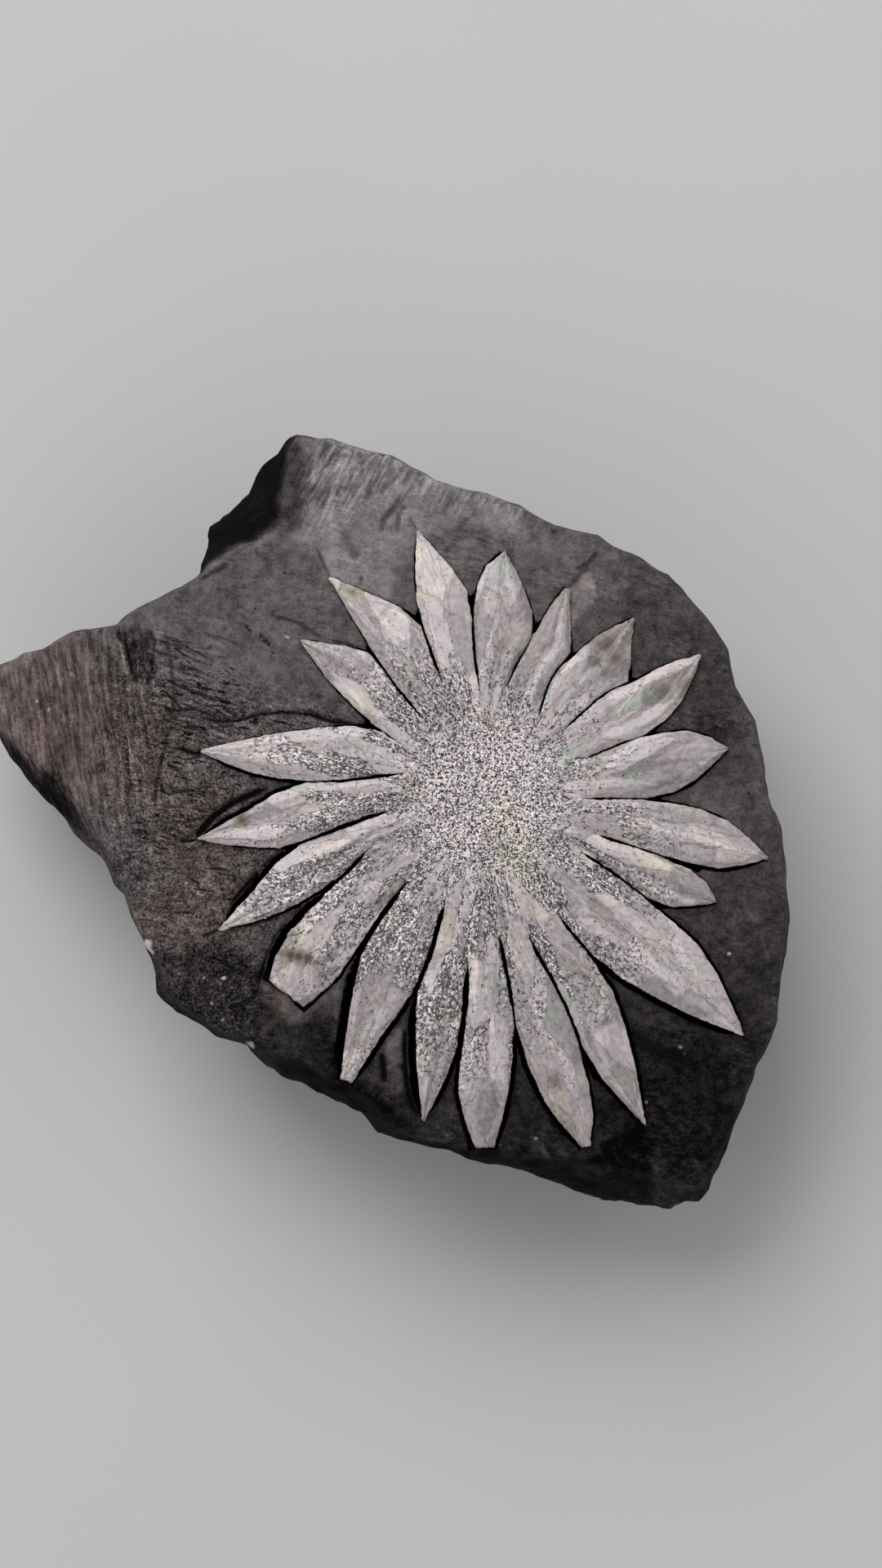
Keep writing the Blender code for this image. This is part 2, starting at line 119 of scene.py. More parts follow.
# %% [markdown]
# ## The petals
# Each petal is known by its tip, by the swell of its two long edges and by the carved grooves
# beside it. From these come two smooth edges, and any spot on a petal can then be named by how
# far out it is and how far across, which is how the crystal blades run.

# %% Outlines of the petals
PETALS = (
    ((-5.5, 21.6), (-5.8, 18.3), (-2.4, 18.0)), ((1.5, 19.9), (-0.2, 18.5), (3.0, 17.3)),
    ((6.6, 16.9), (5.0, 15.2), (6.9, 14.3)), ((12.1, 14.5), (9.3, 13.2), (11.7, 11.7)),
    ((17.5, 11.5), (14.7, 10.8), (16.2, 8.1)), ((19.7, 3.9), (17.0, 5.3), (16.9, 1.2)),
    ((23.0, -5.0), (19.3, -1.7), (19.3, -5.9)), ((18.8, -8.6), (17.7, -6.7), (16.3, -9.0)),
    ((21.1, -19.5), (18.0, -12.9), (16.3, -17.7)), ((13.0, -26.9), (11.8, -20.3), (10.5, -24.2)),
    ((8.2, -28.7), (8.8, -25.7), (4.7, -24.7)), ((-0.1, -28.7), (1.8, -24.3), (-2.2, -24.7)),
    ((-5.1, -26.5), (-3.7, -23.8), (-5.7, -21.0)), ((-11.4, -23.2), (-8.5, -19.5), (-11.2, -18.0)),
    ((-16.3, -16.1), (-12.3, -15.0), (-16.7, -12.0)),
    ((-21.8, -10.9), (-17.3, -9.7), (-19.0, -7.8)), ((-23.5, -3.5), (-19.7, -4.1), (-19.7, -1.3)),
    ((-23.2, 3.7), (-19.7, 2.1), (-16.7, 5.2)), ((-15.1, 12.7), (-12.7, 9.3), (-11.7, 12.3)),
    ((-12.7, 17.8), (-10.9, 14.5), (-8.7, 16.2)),
)
GROOVES = (
    ((-1.1, 15.8), (-1.0, 11.7), (-0.5, 8.5)), ((4.1, 13.8), (3.0, 11.7), (1.7, 9.0)),
    ((7.0, 11.5), (5.3, 9.7), (4.1, 6.0)), ((12.0, 9.5), (9.3, 8.1), (6.2, 5.3)),
    ((13.7, 5.2), (11.0, 4.3), (7.5, 2.8)), ((14.0, -0.2), (10.9, -0.2), (7.8, -0.2)),
    ((15.7, -5.4), (12.3, -4.2), (8.9, -3.1)), ((13.9, -8.9), (11.0, -6.7), (7.7, -4.5)),
    ((10.0, -14.5), (8.3, -12.7), (5.7, -9.5)), ((8.2, -21.7), (6.5, -17.0), (3.5, -11.5)),
    ((2.5, -20.0), (2.0, -16.0), (1.1, -11.3)), ((-2.3, -21.2), (-1.7, -17.3), (-1.5, -13.5)),
    ((-5.8, -16.2), (-4.5, -12.7), (-3.3, -8.3)), ((-10.3, -12.5), (-8.3, -9.5), (-6.5, -7.0)),
    ((-13.1, -7.7), (-11.3, -6.1), (-9.3, -4.2)), ((-16.2, -4.3), (-12.0, -2.6), (-7.7, -1.1)),
    ((-15.5, 1.1), (-11.0, 1.3), (-6.5, 1.9)), ((-9.5, 5.9), (-8.0, 4.9), (-6.7, 4.1)),
    ((-9.3, 11.7), (-7.3, 8.8), (-5.1, 6.3)), ((-5.5, 14.5), (-4.3, 11.3), (-3.5, 8.9)),
)
EDGE_STEPS = 5
PETAL_START = 0.55  # a petal starts inside the heart, at this share of its groove's end


def smooth_path(knots):
    """A Catmull-Rom curve through the given points."""
    last = len(knots) - 1
    path = []
    for k in range(last):
        before, start, end, after = (knots[min(max(k + n, 0), last)] for n in (-1, 0, 1, 2))
        for t in np.arange(EDGE_STEPS) / EDGE_STEPS:
            path.append(0.5 * (2 * start + (end - before) * t
                               + (2 * before - 5 * start + 4 * end - after) * t ** 2
                               + (3 * start - before - 3 * end + after) * t ** 3))
    return np.array(path + [knots[-1]])


def petal_edge(groove, swell, tip):
    fork, bend, end = (np.array(point) for point in groove)
    return smooth_path([end * PETAL_START, end, bend, fork, np.array(swell), np.array(tip)])


petal_edges = [
    (petal_edge(GROOVES[k - 1], swell_left, tip), petal_edge(GROOVES[k], swell_right, tip))
    for k, (tip, swell_left, swell_right) in enumerate(PETALS)
]
print(len(petal_edges), "petals, points on an edge:", len(petal_edges[0][0]))

# %% Distances to a line and insides of an outline
FAR_OUT = 9.0  # mm, stands for far from every petal
PETAL_REACH = 2.0  # mm round a petal within which its distance is worked out


def distance_to(plan, path):
    """Shortest way from each spot to a drawn line, and the place along the line from 0 to 1."""
    nearest = np.full(len(plan), np.inf)
    place = np.zeros(len(plan))
    for k, (start, end) in enumerate(zip(path, path[1:])):
        run = end - start
        share = np.clip(((plan - start) @ run) / (run @ run), 0.0, 1.0)
        away = np.hypot(*(plan - start - share[:, None] * run).T)
        closer = away < nearest
        nearest[closer] = away[closer]
        place[closer] = (k + share[closer]) / (len(path) - 1)
    return nearest, place


def inside(plan, outline):
    """Which spots lie within a closed outline."""
    x, y = plan.T
    crossings = np.zeros(len(plan), bool)
    for (x0, y0), (x1, y1) in zip(outline, np.roll(outline, -1, 0)):
        if y0 != y1:
            crossings ^= ((y0 > y) != (y1 > y)) & (x < (x1 - x0) * (y - y0) / (y1 - y0) + x0)
    return crossings


def near_path(plan, path, reach):
    """Which spots lie within reach of the box round a path."""
    return np.flatnonzero(((plan > path.min(0) - reach) & (plan < path.max(0) + reach)).all(1))


def petal_places(plan):
    """For each spot: its petal or -1, how far out of the petals it is, and its distance from
    the petal's two edges."""
    owner = np.full(len(plan), -1)
    out = np.full(len(plan), FAR_OUT)
    left = np.full(len(plan), 1.0)
    right = np.full(len(plan), 1.0)
    for k, (left_edge, right_edge) in enumerate(petal_edges):
        outline = np.vstack((left_edge, right_edge[::-1]))
        near = near_path(plan, outline, PETAL_REACH)
        to_left, to_right = (distance_to(plan[near], edge)[0] for edge in (left_edge, right_edge))
        within = inside(plan[near], outline)
        away = np.where(within, 0.0, np.minimum(to_left, to_right))
        closer = away < out[near]
        chosen = near[closer]
        out[chosen] = away[closer]
        owner[chosen] = k
        left[chosen] = to_left[closer]
        right[chosen] = to_right[closer]
    return owner, out, left, right


print("12 mm above the heart is petal", petal_places(np.array([(0.0, 12.0)]))[0][0])

# %% [markdown]
# ## From a packed solid to a surface that can take detail
# The packed solids have faces a few millimetres long. A merged copy is cut finer where detail is
# wanted: every edge that is too long is halved, again and again, so the shape stays the same and
# only gets more points. The sides and the underside need far fewer than the face. A remesh would
# be quicker to call, but it would round off the sharp edges of the petals.

# %% Copy a solid and cut it finer
MERGE = 1e-6  # metres
FLAT = math.radians(4.0)  # an edge between faces flatter than this may be turned
PASSES = 9


def merged_copy(node):
    """The packed solid as one skin, in millimetres from the heart."""
    bm = bmesh.new()
    bm.from_mesh(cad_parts[node].data)
    bmesh.ops.remove_doubles(bm, verts=bm.verts, dist=MERGE)
    bmesh.ops.translate(bm, vec=-HEART * MM, verts=bm.verts)
    bmesh.ops.scale(bm, vec=(1.0 / MM,) * 3, verts=bm.verts)
    flat = [edge for edge in bm.edges if edge.calc_face_angle(1.0) < FLAT]
    bmesh.ops.beautify_fill(bm, faces=bm.faces, edges=flat, method="ANGLE")
    return bm


def refine(bm, longest):
    """Halve the edges that are longer than longest allows at their middles."""
    for _ in range(PASSES):
        ends = np.array([(*edge.verts[0].co, *edge.verts[1].co) for edge in bm.edges])
        lengths = np.linalg.norm(ends[:, :3] - ends[:, 3:], axis=1)
        allowed = longest((ends[:, :3] + ends[:, 3:]) / 2)
        edges = list(bm.edges)
        long_edges = [edges[k] for k in np.flatnonzero(lengths > allowed)]
        if not long_edges:
            break
        bmesh.ops.subdivide_edges(bm, edges=long_edges, cuts=1, use_single_edge=True)
        mixed = [face for face in bm.faces if len(face.verts) > 3]
        bmesh.ops.triangulate(bm, faces=mixed, quad_method="SHORT_EDGE")
    bm.normal_update()


def skin_arrays(bm):
    points = np.array([vert.co[:] for vert in bm.verts])
    normals = np.array([vert.normal[:] for vert in bm.verts])
    return points, normals


OCTAVE_FALL = 0.8  # how much weaker each finer layer of unevenness is
OCTAVE_STEP = 2.0  # and how much finer


def clouds(points, size, octaves=3):
    """Smooth random unevenness between about -1 and 1, with bumps of the given size in mm."""
    return np.array([
        noise.fractal(Vector(p) / size, OCTAVE_FALL, OCTAVE_STEP, octaves) for p in points])


print("the packed rock has", len(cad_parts["matrix_rock"].data.polygons), "faces")

# %% [markdown]
# ## Marks of tools on the rock
# A carver's scraper leaves runs of short parallel strokes, and a graver leaves long cut lines.
# The cut lines are drawn one by one. The runs are strewn with a fixed seed inside patches, each
# with its own direction, length and depth, because nobody could place every scratch by hand.

# %% Cut lines, drawn one by one: width mm, depth mm, darkness, then the places in the frame
# Darkness is painted along a line's middle, partly its own tone and partly painted shade in the
# groove; below 0 the line stands up and is painted lighter, partly a painted highlight.
CUT_LINES = (
    (0.24, 0.26, 0.95, (220, 871, 243, 875, 265, 883, 291, 883, 318, 875, 345, 872, 381, 874, 407,
        880, 431, 883, 449, 892, 470, 901, 493, 914)),
    (0.32, 0.28, 0.95, (212, 912, 238, 926, 262, 933)),
    (0.55, 0.30, 1.0, (350, 960, 316, 970, 285, 984, 262, 1000, 240, 1018, 226, 1028)),
    (0.32, 0.26, 0.9, (215, 1030, 232, 1031, 250, 1034)),
    (0.40, 0.28, 0.9, (295, 1136, 324, 1127, 352, 1115, 372, 1108)),
    (0.55, 0.30, 1.0, (346, 1048, 326, 1064, 307, 1084, 290, 1105, 275, 1126)),
    (0.30, 0.20, 0.8, (275, 1128, 258, 1142, 243, 1152)),
    (0.50, 0.30, 1.0, (380, 1110, 361, 1127, 340, 1152, 328, 1174, 316, 1199, 313, 1214)),
    (0.40, 0.25, 1.0, (417, 1270, 412, 1300, 409, 1328)),
    (0.70, 0.30, 1.0, (502, 1242, 500, 1275, 499, 1310, 505, 1350, 508, 1385)),
    (0.50, 0.28, 1.0, (464, 1284, 469, 1305, 471, 1330)),
    (0.22, 0.20, 0.6, (320, 750, 345, 757, 362, 762, 385, 772, 400, 780)),
    (0.22, 0.20, 0.7, (400, 780, 425, 784, 455, 800)),
    (0.20, 0.12, 0.5, (404, 708, 396, 690, 385, 665)),
    (0.40, 0.16, 0.5, (492, 602, 484, 620, 470, 636, 464, 660)),
    (0.35, 0.14, 0.5, (486, 660, 488, 630, 500, 615)),
    (0.25, 0.12, 0.4, (500, 630, 508, 648)),
    (0.30, 0.12, 0.5, (196, 760, 207, 800, 212, 850, 215, 900)),
    (0.30, 0.14, 0.7, (210, 880, 200, 920, 190, 960, 188, 1000)),
    (0.22, 0.12, 0.6, (132, 858, 138, 900, 146, 950)),
    (0.16, -0.10, -0.9, (144, 778, 150, 805, 155, 832)),
    (0.20, 0.14, 0.9, (149, 776, 156, 806, 161, 834)),
    (0.14, -0.06, -0.6, (168, 770, 170, 790)),
    (0.14, -0.05, -0.5, (160, 917, 188, 920)),
    (0.18, 0.10, 0.5, (190, 776, 186, 800, 184, 830)),
    (1.20, 0.22, 0.8, (715, 1232, 760, 1262, 810, 1290, 865, 1304)),
    (0.40, 0.12, 0.5, (700, 722, 712, 700, 722, 690)),
    (0.16, -0.03, -0.35, (932, 1142, 937, 1160, 944, 1182)),
    (0.30, 0.10, 0.5, (405, 596, 398, 612, 392, 622)),
    (0.60, 0.10, 0.4, (415, 640, 428, 668, 440, 690)),
    (0.35, 0.12, 0.6, (700, 700, 720, 690, 735, 672)),
    (0.60, -0.12, -0.35, (236, 700, 262, 688, 292, 676, 322, 661, 350, 648)),
    (0.30, 0.15, 0.6, (238, 712, 262, 700, 284, 690)),
    (0.30, 0.12, 0.5, (398, 700, 408, 716, 424, 742, 440, 768, 456, 800)),
    (0.18, 0.12, 0.7, (191, 776, 219, 788, 242, 799, 262, 810)),
    (0.26, 0.14, 0.85, (193, 827, 219, 840, 252, 853, 275, 862)),
    (0.20, 0.12, 0.75, (209, 871, 239, 868, 270, 881)),
    (0.22, 0.12, 0.8, (196, 843, 214, 858, 224, 873)),
    (0.16, 0.10, 0.6, (214, 797, 237, 807, 257, 815)),
)
print("widest cut line, mm:", max(width for width, _, _, _ in CUT_LINES))

# %% Patches of strewn strokes
# number, patch (left, top, right, bottom in the frame), lean in degrees from straight across,
# spread of the lean, length mm, width mm, depth mm, darkness
STROKE_PATCHES = (
    (70, (15, 775, 190, 1000), -80, 6, (1.6, 6.0), 0.20, 0.09, 0.30),
    (34, (376, 530, 520, 610), -118, 7, (1.0, 4.0), 0.30, 0.12, 0.35),
    (30, (470, 550, 660, 640), -115, 9, (1.0, 3.0), 0.28, 0.07, 0.25),
    (46, (190, 775, 300, 900), -20, 7, (1.0, 4.2), 0.15, 0.14, 0.55),
    (50, (195, 860, 300, 905), -12, 10, (0.5, 2.4), 0.15, 0.14, 0.6),
    (110, (160, 925, 300, 1130), -6, 12, (0.5, 2.2), 0.14, 0.09, 0.75),
    (40, (150, 930, 320, 1120), -84, 20, (0.3, 1.0), 0.12, 0.10, 0.75),
    (60, (170, 1100, 330, 1180), 12, 16, (0.5, 2.0), 0.15, 0.07, 0.45),
    (26, (740, 1385, 880, 1485), -60, 10, (1.0, 4.0), 0.35, 0.10, -0.25),
    (40, (420, 1380, 740, 1480), -20, 30, (0.6, 2.5), 0.35, 0.16, 0.5),
    (18, (880, 1000, 960, 1300), -70, 25, (0.6, 2.0), 0.18, 0.03, -0.15),
    (24, (250, 690, 420, 780), -35, 25, (0.5, 1.6), 0.18, 0.05, 0.3),
    (16, (620, 640, 880, 860), -40, 25, (1.0, 3.5), 0.5, 0.05, 0.2),
)
STROKE_SEED = 11
STROKE_BEND = 0.06  # bend of a stroke, as a share of half its length
STROKE_LIFTS = (1.0, 1.0, -0.6)  # one stroke in three is raised
STROKE_SIZES = (0.5, 1.3)


def strewn_strokes():
    strokes = []
    rng = np.random.default_rng(STROKE_SEED)
    for count, (x0, y0, x1, y1), lean, spread, lengths, width, depth, dark in STROKE_PATCHES:
        for _ in range(count):
            middle = seen_at(rng.uniform(x0, x1), rng.uniform(y0, y1))[0]
            angle = math.radians(lean + rng.normal(0.0, spread))
            half = rng.uniform(*lengths) / 2
            way = np.array((math.cos(angle), math.sin(angle)))
            bend = np.array((-way[1], way[0])) * rng.normal(0.0, STROKE_BEND) * half
            path = np.array((middle - way * half, middle + bend, middle + way * half))
            lift = rng.choice(STROKE_LIFTS)
            scale = rng.uniform(*STROKE_SIZES)
            strokes.append((width * scale, depth * lift * scale, dark * lift, path))
    return strokes


strokes = [(width, depth, dark, seen_at(*pixels)) for width, depth, dark, pixels in CUT_LINES]
strokes += strewn_strokes()
print(len(CUT_LINES), "cut lines and", len(strokes) - len(CUT_LINES), "strewn strokes")

# %% Single pits and white grains
# place in the frame, radius mm, depth mm
PITS = (
    (302, 768, 0.18, 0.2), (306, 772, 0.14, 0.2), (325, 785, 0.20, 0.2), (329, 789, 0.16, 0.2),
    (318, 780, 0.1, 0.1), (916, 972, 0.14, 0.1), (841, 1294, 0.18, 0.1), (846, 1298, 0.14, 0.1),
    (211, 834, 0.20, 0.2), (214, 838, 0.16, 0.2), (335, 800, 0.1, 0.1),
)
# place in the frame, radius mm, brightness
WHITE_GRAINS = (
    (179, 1157, 0.34, 1.0), (184, 1168, 0.18, 0.9), (307, 1279, 0.18, 0.7), (274, 1198, 0.13, 0.9),
    (259, 1229, 0.10, 0.6), (249, 1198, 0.09, 0.5), (269, 1205, 0.09, 0.4), (893, 1168, 0.11, 0.8),
    (834, 1283, 0.12, 0.7), (839, 1292, 0.10, 0.5), (272, 1250, 0.10, 0.4), (350, 780, 0.10, 0.6),
    (336, 1330, 0.11, 0.6), (793, 1350, 0.11, 0.4), (656, 1395, 0.10, 0.5), (704, 1390, 0.12, 0.5),
    (228, 1082, 0.12, 0.6), (356, 1331, 0.10, 0.4), (40, 858, 0.1, 0.6), (56, 868, 0.1, 0.6),
    (270, 1293, 0.1, 0.4),
)
print(len(PITS), "single pits,", len(WHITE_GRAINS), "white grains")

# %% A map of the ground that tools have marked
GROUND_CELL = 0.2  # mm
GROUND_HALF = 45.0  # mm from the heart to each side of the map
GRAIN_RING = 1.5  # the map's reach round a pit or grain, in its radii


def ground_cell(plan):
    return tuple(((plan + GROUND_HALF) / GROUND_CELL).astype(int).T)


marked_ground = np.zeros((int(2 * GROUND_HALF / GROUND_CELL),) * 2, bool)
for _, _, _, path in strokes:
    for start, end in zip(path, path[1:]):
        steps = int(np.hypot(*(end - start)) / GROUND_CELL * 2) + 2
        line = start + (end - start) * np.linspace(0.0, 1.0, steps)[:, None]
        for shift in ((0.0, 0.0), (-GROUND_CELL, 0.0), (GROUND_CELL, 0.0),
                      (0.0, -GROUND_CELL), (0.0, GROUND_CELL)):
            marked_ground[ground_cell(line + shift)] = True
for x, y, radius, _ in PITS + WHITE_GRAINS:
    spread = np.linspace(-GRAIN_RING, GRAIN_RING, 9) * radius
    around = np.array([(a, b) for a in spread for b in spread])
    marked_ground[ground_cell(seen_at(x, y) + around)] = True
print("marked ground:", round(float(marked_ground.sum()) * GROUND_CELL ** 2), "square mm")

# %% [markdown]
# ## The rock
# Limestone breaks with dull, uneven faces, and it scrapes to a smoother, greyer skin. Fine points
# are needed only on the face and closest round the tool marks at the left. Even points all over
# would be simpler, but the piece would be far too heavy.

# %% Cut the rock's skin finer
# longest edges, mm
FACE_EDGE = 0.5
WORKED_EDGE = 0.20
RIM_EDGE = 0.25
BROKEN_EDGE = 0.6
SIDE_EDGE = 1.0
HIDDEN_EDGE = 1.8
RIM_DEPTH = 0.5  # mm below the face
RIM_REACH = 0.7  # mm from a petal to the outer side of its rim
RIM_END = 33.0  # mm from the heart, beyond which there is no petal
BREAK_START = 0.45  # mm below the face, where the broken sides and the pocket start
SIDE_START = 4.0  # and where the sides are too low to be seen from above
FLOOR_START = 1.2  # and where the crystals hide the pocket
POCKET_END = 23.0  # mm from the heart, within which all that is deep is pocket
BASE_END = 0.2  # mm above the underside


def rock_edges(middles):
    depth = face_height(middles) - middles[:, 2]
    plan = middles[:, :2]
    from_heart = np.hypot(*plan.T)
    allowed = np.full(len(middles), FACE_EDGE)
    allowed[marked_ground[ground_cell(plan)]] = WORKED_EDGE
    high = np.flatnonzero((depth < RIM_DEPTH) & (allowed > RIM_EDGE) & (from_heart < RIM_END))
    allowed[high[petal_places(plan[high])[1] < RIM_REACH]] = RIM_EDGE
    allowed[depth > BREAK_START] = BROKEN_EDGE
    allowed[depth > SIDE_START] = SIDE_EDGE
    allowed[(depth > BREAK_START) & (from_heart < POCKET_END)] = SIDE_EDGE
    allowed[(depth > FLOOR_START) & (from_heart < POCKET_END)] = HIDDEN_EDGE
    allowed[middles[:, 2] < BASE_END] = HIDDEN_EDGE
    return allowed


rock_bm = merged_copy("matrix_rock")
refine(rock_bm, rock_edges)
print("rock:", len(rock_bm.verts), "points,", len(rock_bm.faces), "faces")

# %% What each point of the rock is part of
FACE_SKIN = 0.4  # mm that the face's worn edge goes down
POCKET_REACH = 0.75  # mm round a petal
POCKET_DEPTH = (0.12, 4.0)  # mm below the face

rock_points, rock_normals = skin_arrays(rock_bm)
rock_plan = rock_points[:, :2]
rock_depth = face_height(rock_points) - rock_points[:, 2]
rock_owner, rock_out, rock_left, rock_right = petal_places(rock_plan)
heart_ring = np.array([groove[2] for groove in GROOVES])
in_heart = inside(rock_plan, heart_ring)
near_flower = (rock_out < POCKET_REACH) | in_heart
on_face = (rock_depth < FACE_SKIN) & (rock_normals[:, 2] > 0.5)
in_pocket = near_flower & (rock_depth > POCKET_DEPTH[0]) & (rock_depth < POCKET_DEPTH[1])
on_side = ~on_face & ~in_pocket
print("face", on_face.sum(), "pocket", in_pocket.sum(), "side", on_side.sum())

# %% [markdown]
# Broken rock shows small flat breaks with creases between them. Noise with its valleys folded
# up gives such creases. The scraped face stays nearly even, and only its tool marks go deeper.
# A Displace modifier could do it too, but here the depth can differ from place to place.

# %% Unevenness of the rock
# depths and sizes in mm
FACE_WAVINESS, WAVINESS_SIZE = 0.05, 3.0
WORKED_ROUGHNESS, WORKED_SIZE = 0.08, 0.5
WORKED_FROM = (-13.0, -20.0)  # left of the heart, where tool roughness starts and is full
RIM_BREAK = 0.22  # depth of the breaks on the bevel that is seen from above
BREAK_DEPTH, BREAK_SIZE = 0.75, 5.5  # and lower down
SMALL_BREAK, SMALL_BREAK_SIZE = 0.5, 2.0  # share and size of the smaller breaks on them
CRUMB_DEPTH, CRUMB_SIZE = 0.10, 1.1
CREASE_LEVEL = 0.7  # creases below it go in, and the swells above it stand out
POCKET_ROUGHNESS, POCKET_GRAIN = 0.05, 0.6
FACING_DOWN = (0.10, -0.15)  # how far normals point up where deep breaks start and are full
SIDE_DEPTHS = ((0.3, 1.0), (1.0, 4.0))  # mm below the face where breaks start, and the deep ones
BASE_FADE = 1.5  # mm above the underside where the breaks fade


def creases(points, size, octaves=2):
    """Noise with its valleys folded up: below 0 at a crease, above 0 on the swell between."""
    return np.abs(clouds(points, size, octaves)) * 2.0 - CREASE_LEVEL


def evened(bm, values, times):
    """Each point's value drawn halfway to those of its neighbours."""
    ends = np.array([(edge.verts[0].index, edge.verts[1].index) for edge in bm.edges])
    for _ in range(times):
        total = np.bincount(ends[:, 0], values[ends[:, 1]], len(values))
        total += np.bincount(ends[:, 1], values[ends[:, 0]], len(values))
        values = values / 2 + total / np.bincount(ends.ravel(), minlength=len(values)) / 2
    return values


rock_bm.verts.index_update()
rock_lift = np.zeros(len(rock_points))
rock_lift[on_face] += FACE_WAVINESS * clouds(rock_points[on_face], WAVINESS_SIZE)
worked = on_face & (rock_plan[:, 0] < WORKED_FROM[0])
rock_lift[worked] += (WORKED_ROUGHNESS * smoothstep(*WORKED_FROM, rock_plan[worked, 0])
                      * clouds(rock_points[worked], WORKED_SIZE, 2))
deep_share = smoothstep(*FACING_DOWN, rock_normals[:, 2]) * smoothstep(*SIDE_DEPTHS[1], rock_depth)
side_share = on_side * smoothstep(0.0, BASE_FADE, rock_points[:, 2])
side_share = side_share * smoothstep(*SIDE_DEPTHS[0], rock_depth)
side_share *= RIM_BREAK + (BREAK_DEPTH - RIM_BREAK) * deep_share
broken = on_side & (side_share > 0.0)
spots = rock_points[broken]
breaks = creases(spots, BREAK_SIZE) + SMALL_BREAK * creases(spots, SMALL_BREAK_SIZE)
rock_lift[broken] += side_share[broken] * breaks + CRUMB_DEPTH * creases(spots, CRUMB_SIZE)
rock_lift[in_pocket] += POCKET_ROUGHNESS * clouds(rock_points[in_pocket], POCKET_GRAIN, 2)
rock_lift = np.where(on_side, evened(rock_bm, rock_lift, 2), rock_lift)
even_normals = np.column_stack([evened(rock_bm, rock_normals[:, axis], 3) for axis in range(3)])
even_normals /= np.maximum(np.linalg.norm(even_normals, axis=1), 0.3)[:, None]
rock_normals = np.where(on_side[:, None], even_normals, rock_normals)
print("lift of the sides, mm:", rock_lift[broken].min().round(2), rock_lift[broken].max().round(2))

# %% Press the strokes into the face
STROKE_REACH = 2.2  # reach of a stroke's edge, in stroke widths
STROKE_FALL = 0.62  # and how far out it has fallen to a third of its depth
STROKE_FADE = 0.25  # share of a stroke that runs out at each end
STROKE_DARK = (0.10, 0.75)  # shares of its depth where it starts to darken and is dark

# Marks darken the rock along their middles, partly their own tone and partly painted shade in the
# grooves; raised marks are painted lighter, partly a painted highlight.
mark_dark_and_shade = np.zeros(len(rock_points))
mark_light_and_highlight = np.zeros(len(rock_points))
top_side = np.flatnonzero(~in_pocket & (rock_points[:, 2] > 10.0) & (rock_normals[:, 2] > 0.3))
top_plan = rock_plan[top_side]


def raise_to(readings, points, values):
    """Raise the readings of some points to the given values where they are lower."""
    readings[points] = np.maximum(readings[points], values)


for width, depth, dark, path in strokes:
    near = near_path(top_plan, path, width * STROKE_REACH)
    if not len(near):
        continue
    away, place = distance_to(top_plan[near], path)
    ends = smoothstep(0.0, STROKE_FADE, place) * smoothstep(1.0, 1.0 - STROKE_FADE, place)
    press = np.exp(-(away / (width * STROKE_FALL)) ** 2) * ends
    rock_lift[top_side[near]] -= depth * press
    marked = mark_dark_and_shade if dark > 0 else mark_light_and_highlight
    raise_to(marked, top_side[near], abs(dark) * smoothstep(*STROKE_DARK, press))
print("deepest mark, mm:", rock_lift[top_side].min().round(2))

# %% [markdown]
# Small pits mark where grains dropped out, most of them round the tips of the left petals where
# the graver worked hardest. A few white grains of calcite are left in the rock.

# %% Pits and white grains
# number, patch in the frame, radius mm, depth mm
PIT_PATCHES = (
    (90, (190, 875, 320, 1070), (0.05, 0.15), 0.12),
    (70, (200, 1070, 330, 1140), (0.05, 0.14), 0.10),
    (36, (230, 690, 470, 850), (0.05, 0.11), 0.08),
    (40, (350, 850, 480, 905), (0.06, 0.16), 0.12),
    (80, (330, 1100, 520, 1400), (0.06, 0.18), 0.12),
    (30, (620, 650, 900, 900), (0.08, 0.14), 0.05),
    (40, (700, 1250, 930, 1450), (0.08, 0.16), 0.05),
)
PIT_SEED = 23
# A pit's floor gets painted shade.
PIT_FLOOR_SHADE = 0.85  # darkness of a pit's floor
PIT_DARK = (0.15, 0.7)  # shares of its depth where it starts to darken and is dark
GRAIN_STANDS = 0.08  # mm
GRAIN_RIM = (1.5, 0.8)  # where a white grain ends and where it is whole, in its radii


def strewn_pits():
    rng = np.random.default_rng(PIT_SEED)
    for count, (x0, y0, x1, y1), radii, depth in PIT_PATCHES:
        for _ in range(count):
            yield rng.uniform(x0, x1), rng.uniform(y0, y1), rng.uniform(*radii), depth


def top_near(x, y, radius, reach):
    """Points of the top near a place in the frame, and their distance from it in radii."""
    away = np.hypot(*(top_plan - seen_at(x, y)[0]).T) / radius
    near = np.flatnonzero(away < reach)
    return top_side[near], away[near]


rock_white = np.zeros(len(rock_points))
for x, y, radius, depth in list(PITS) + list(strewn_pits()):
    near, away = top_near(x, y, radius, 2.5)
    hollow = np.exp(-away ** 2)
    rock_lift[near] -= depth * hollow
    raise_to(mark_dark_and_shade, near, PIT_FLOOR_SHADE * smoothstep(*PIT_DARK, hollow))
for x, y, radius, bright in WHITE_GRAINS:
    near, away = top_near(x, y, radius, 2.0)
    grain = smoothstep(*GRAIN_RIM, away)
    rock_lift[near] += GRAIN_STANDS * grain
    raise_to(rock_white, near, bright * grain)
print("strewn pits:", sum(patch[0] for patch in PIT_PATCHES))

# %% [markdown]
# ## Tones of the rock
# The rock is palest at the top left and nearly black at the lower right and along the bottom,
# where it broke. Part of this is the rock's own tone and part is painted light: the top left facet
# is painted lighter where it faces the lamp, and the lower right and the bottom are painted darker
# as shade where they turn away. A few soft brown stains come from iron. All this could be painted
# onto an image, but readings kept on the points need no picture.

# %% Fields and patches of tone
# Tone is how light the rock looks, from 0 for black to 1 for white
BASE_TONE = 0.355
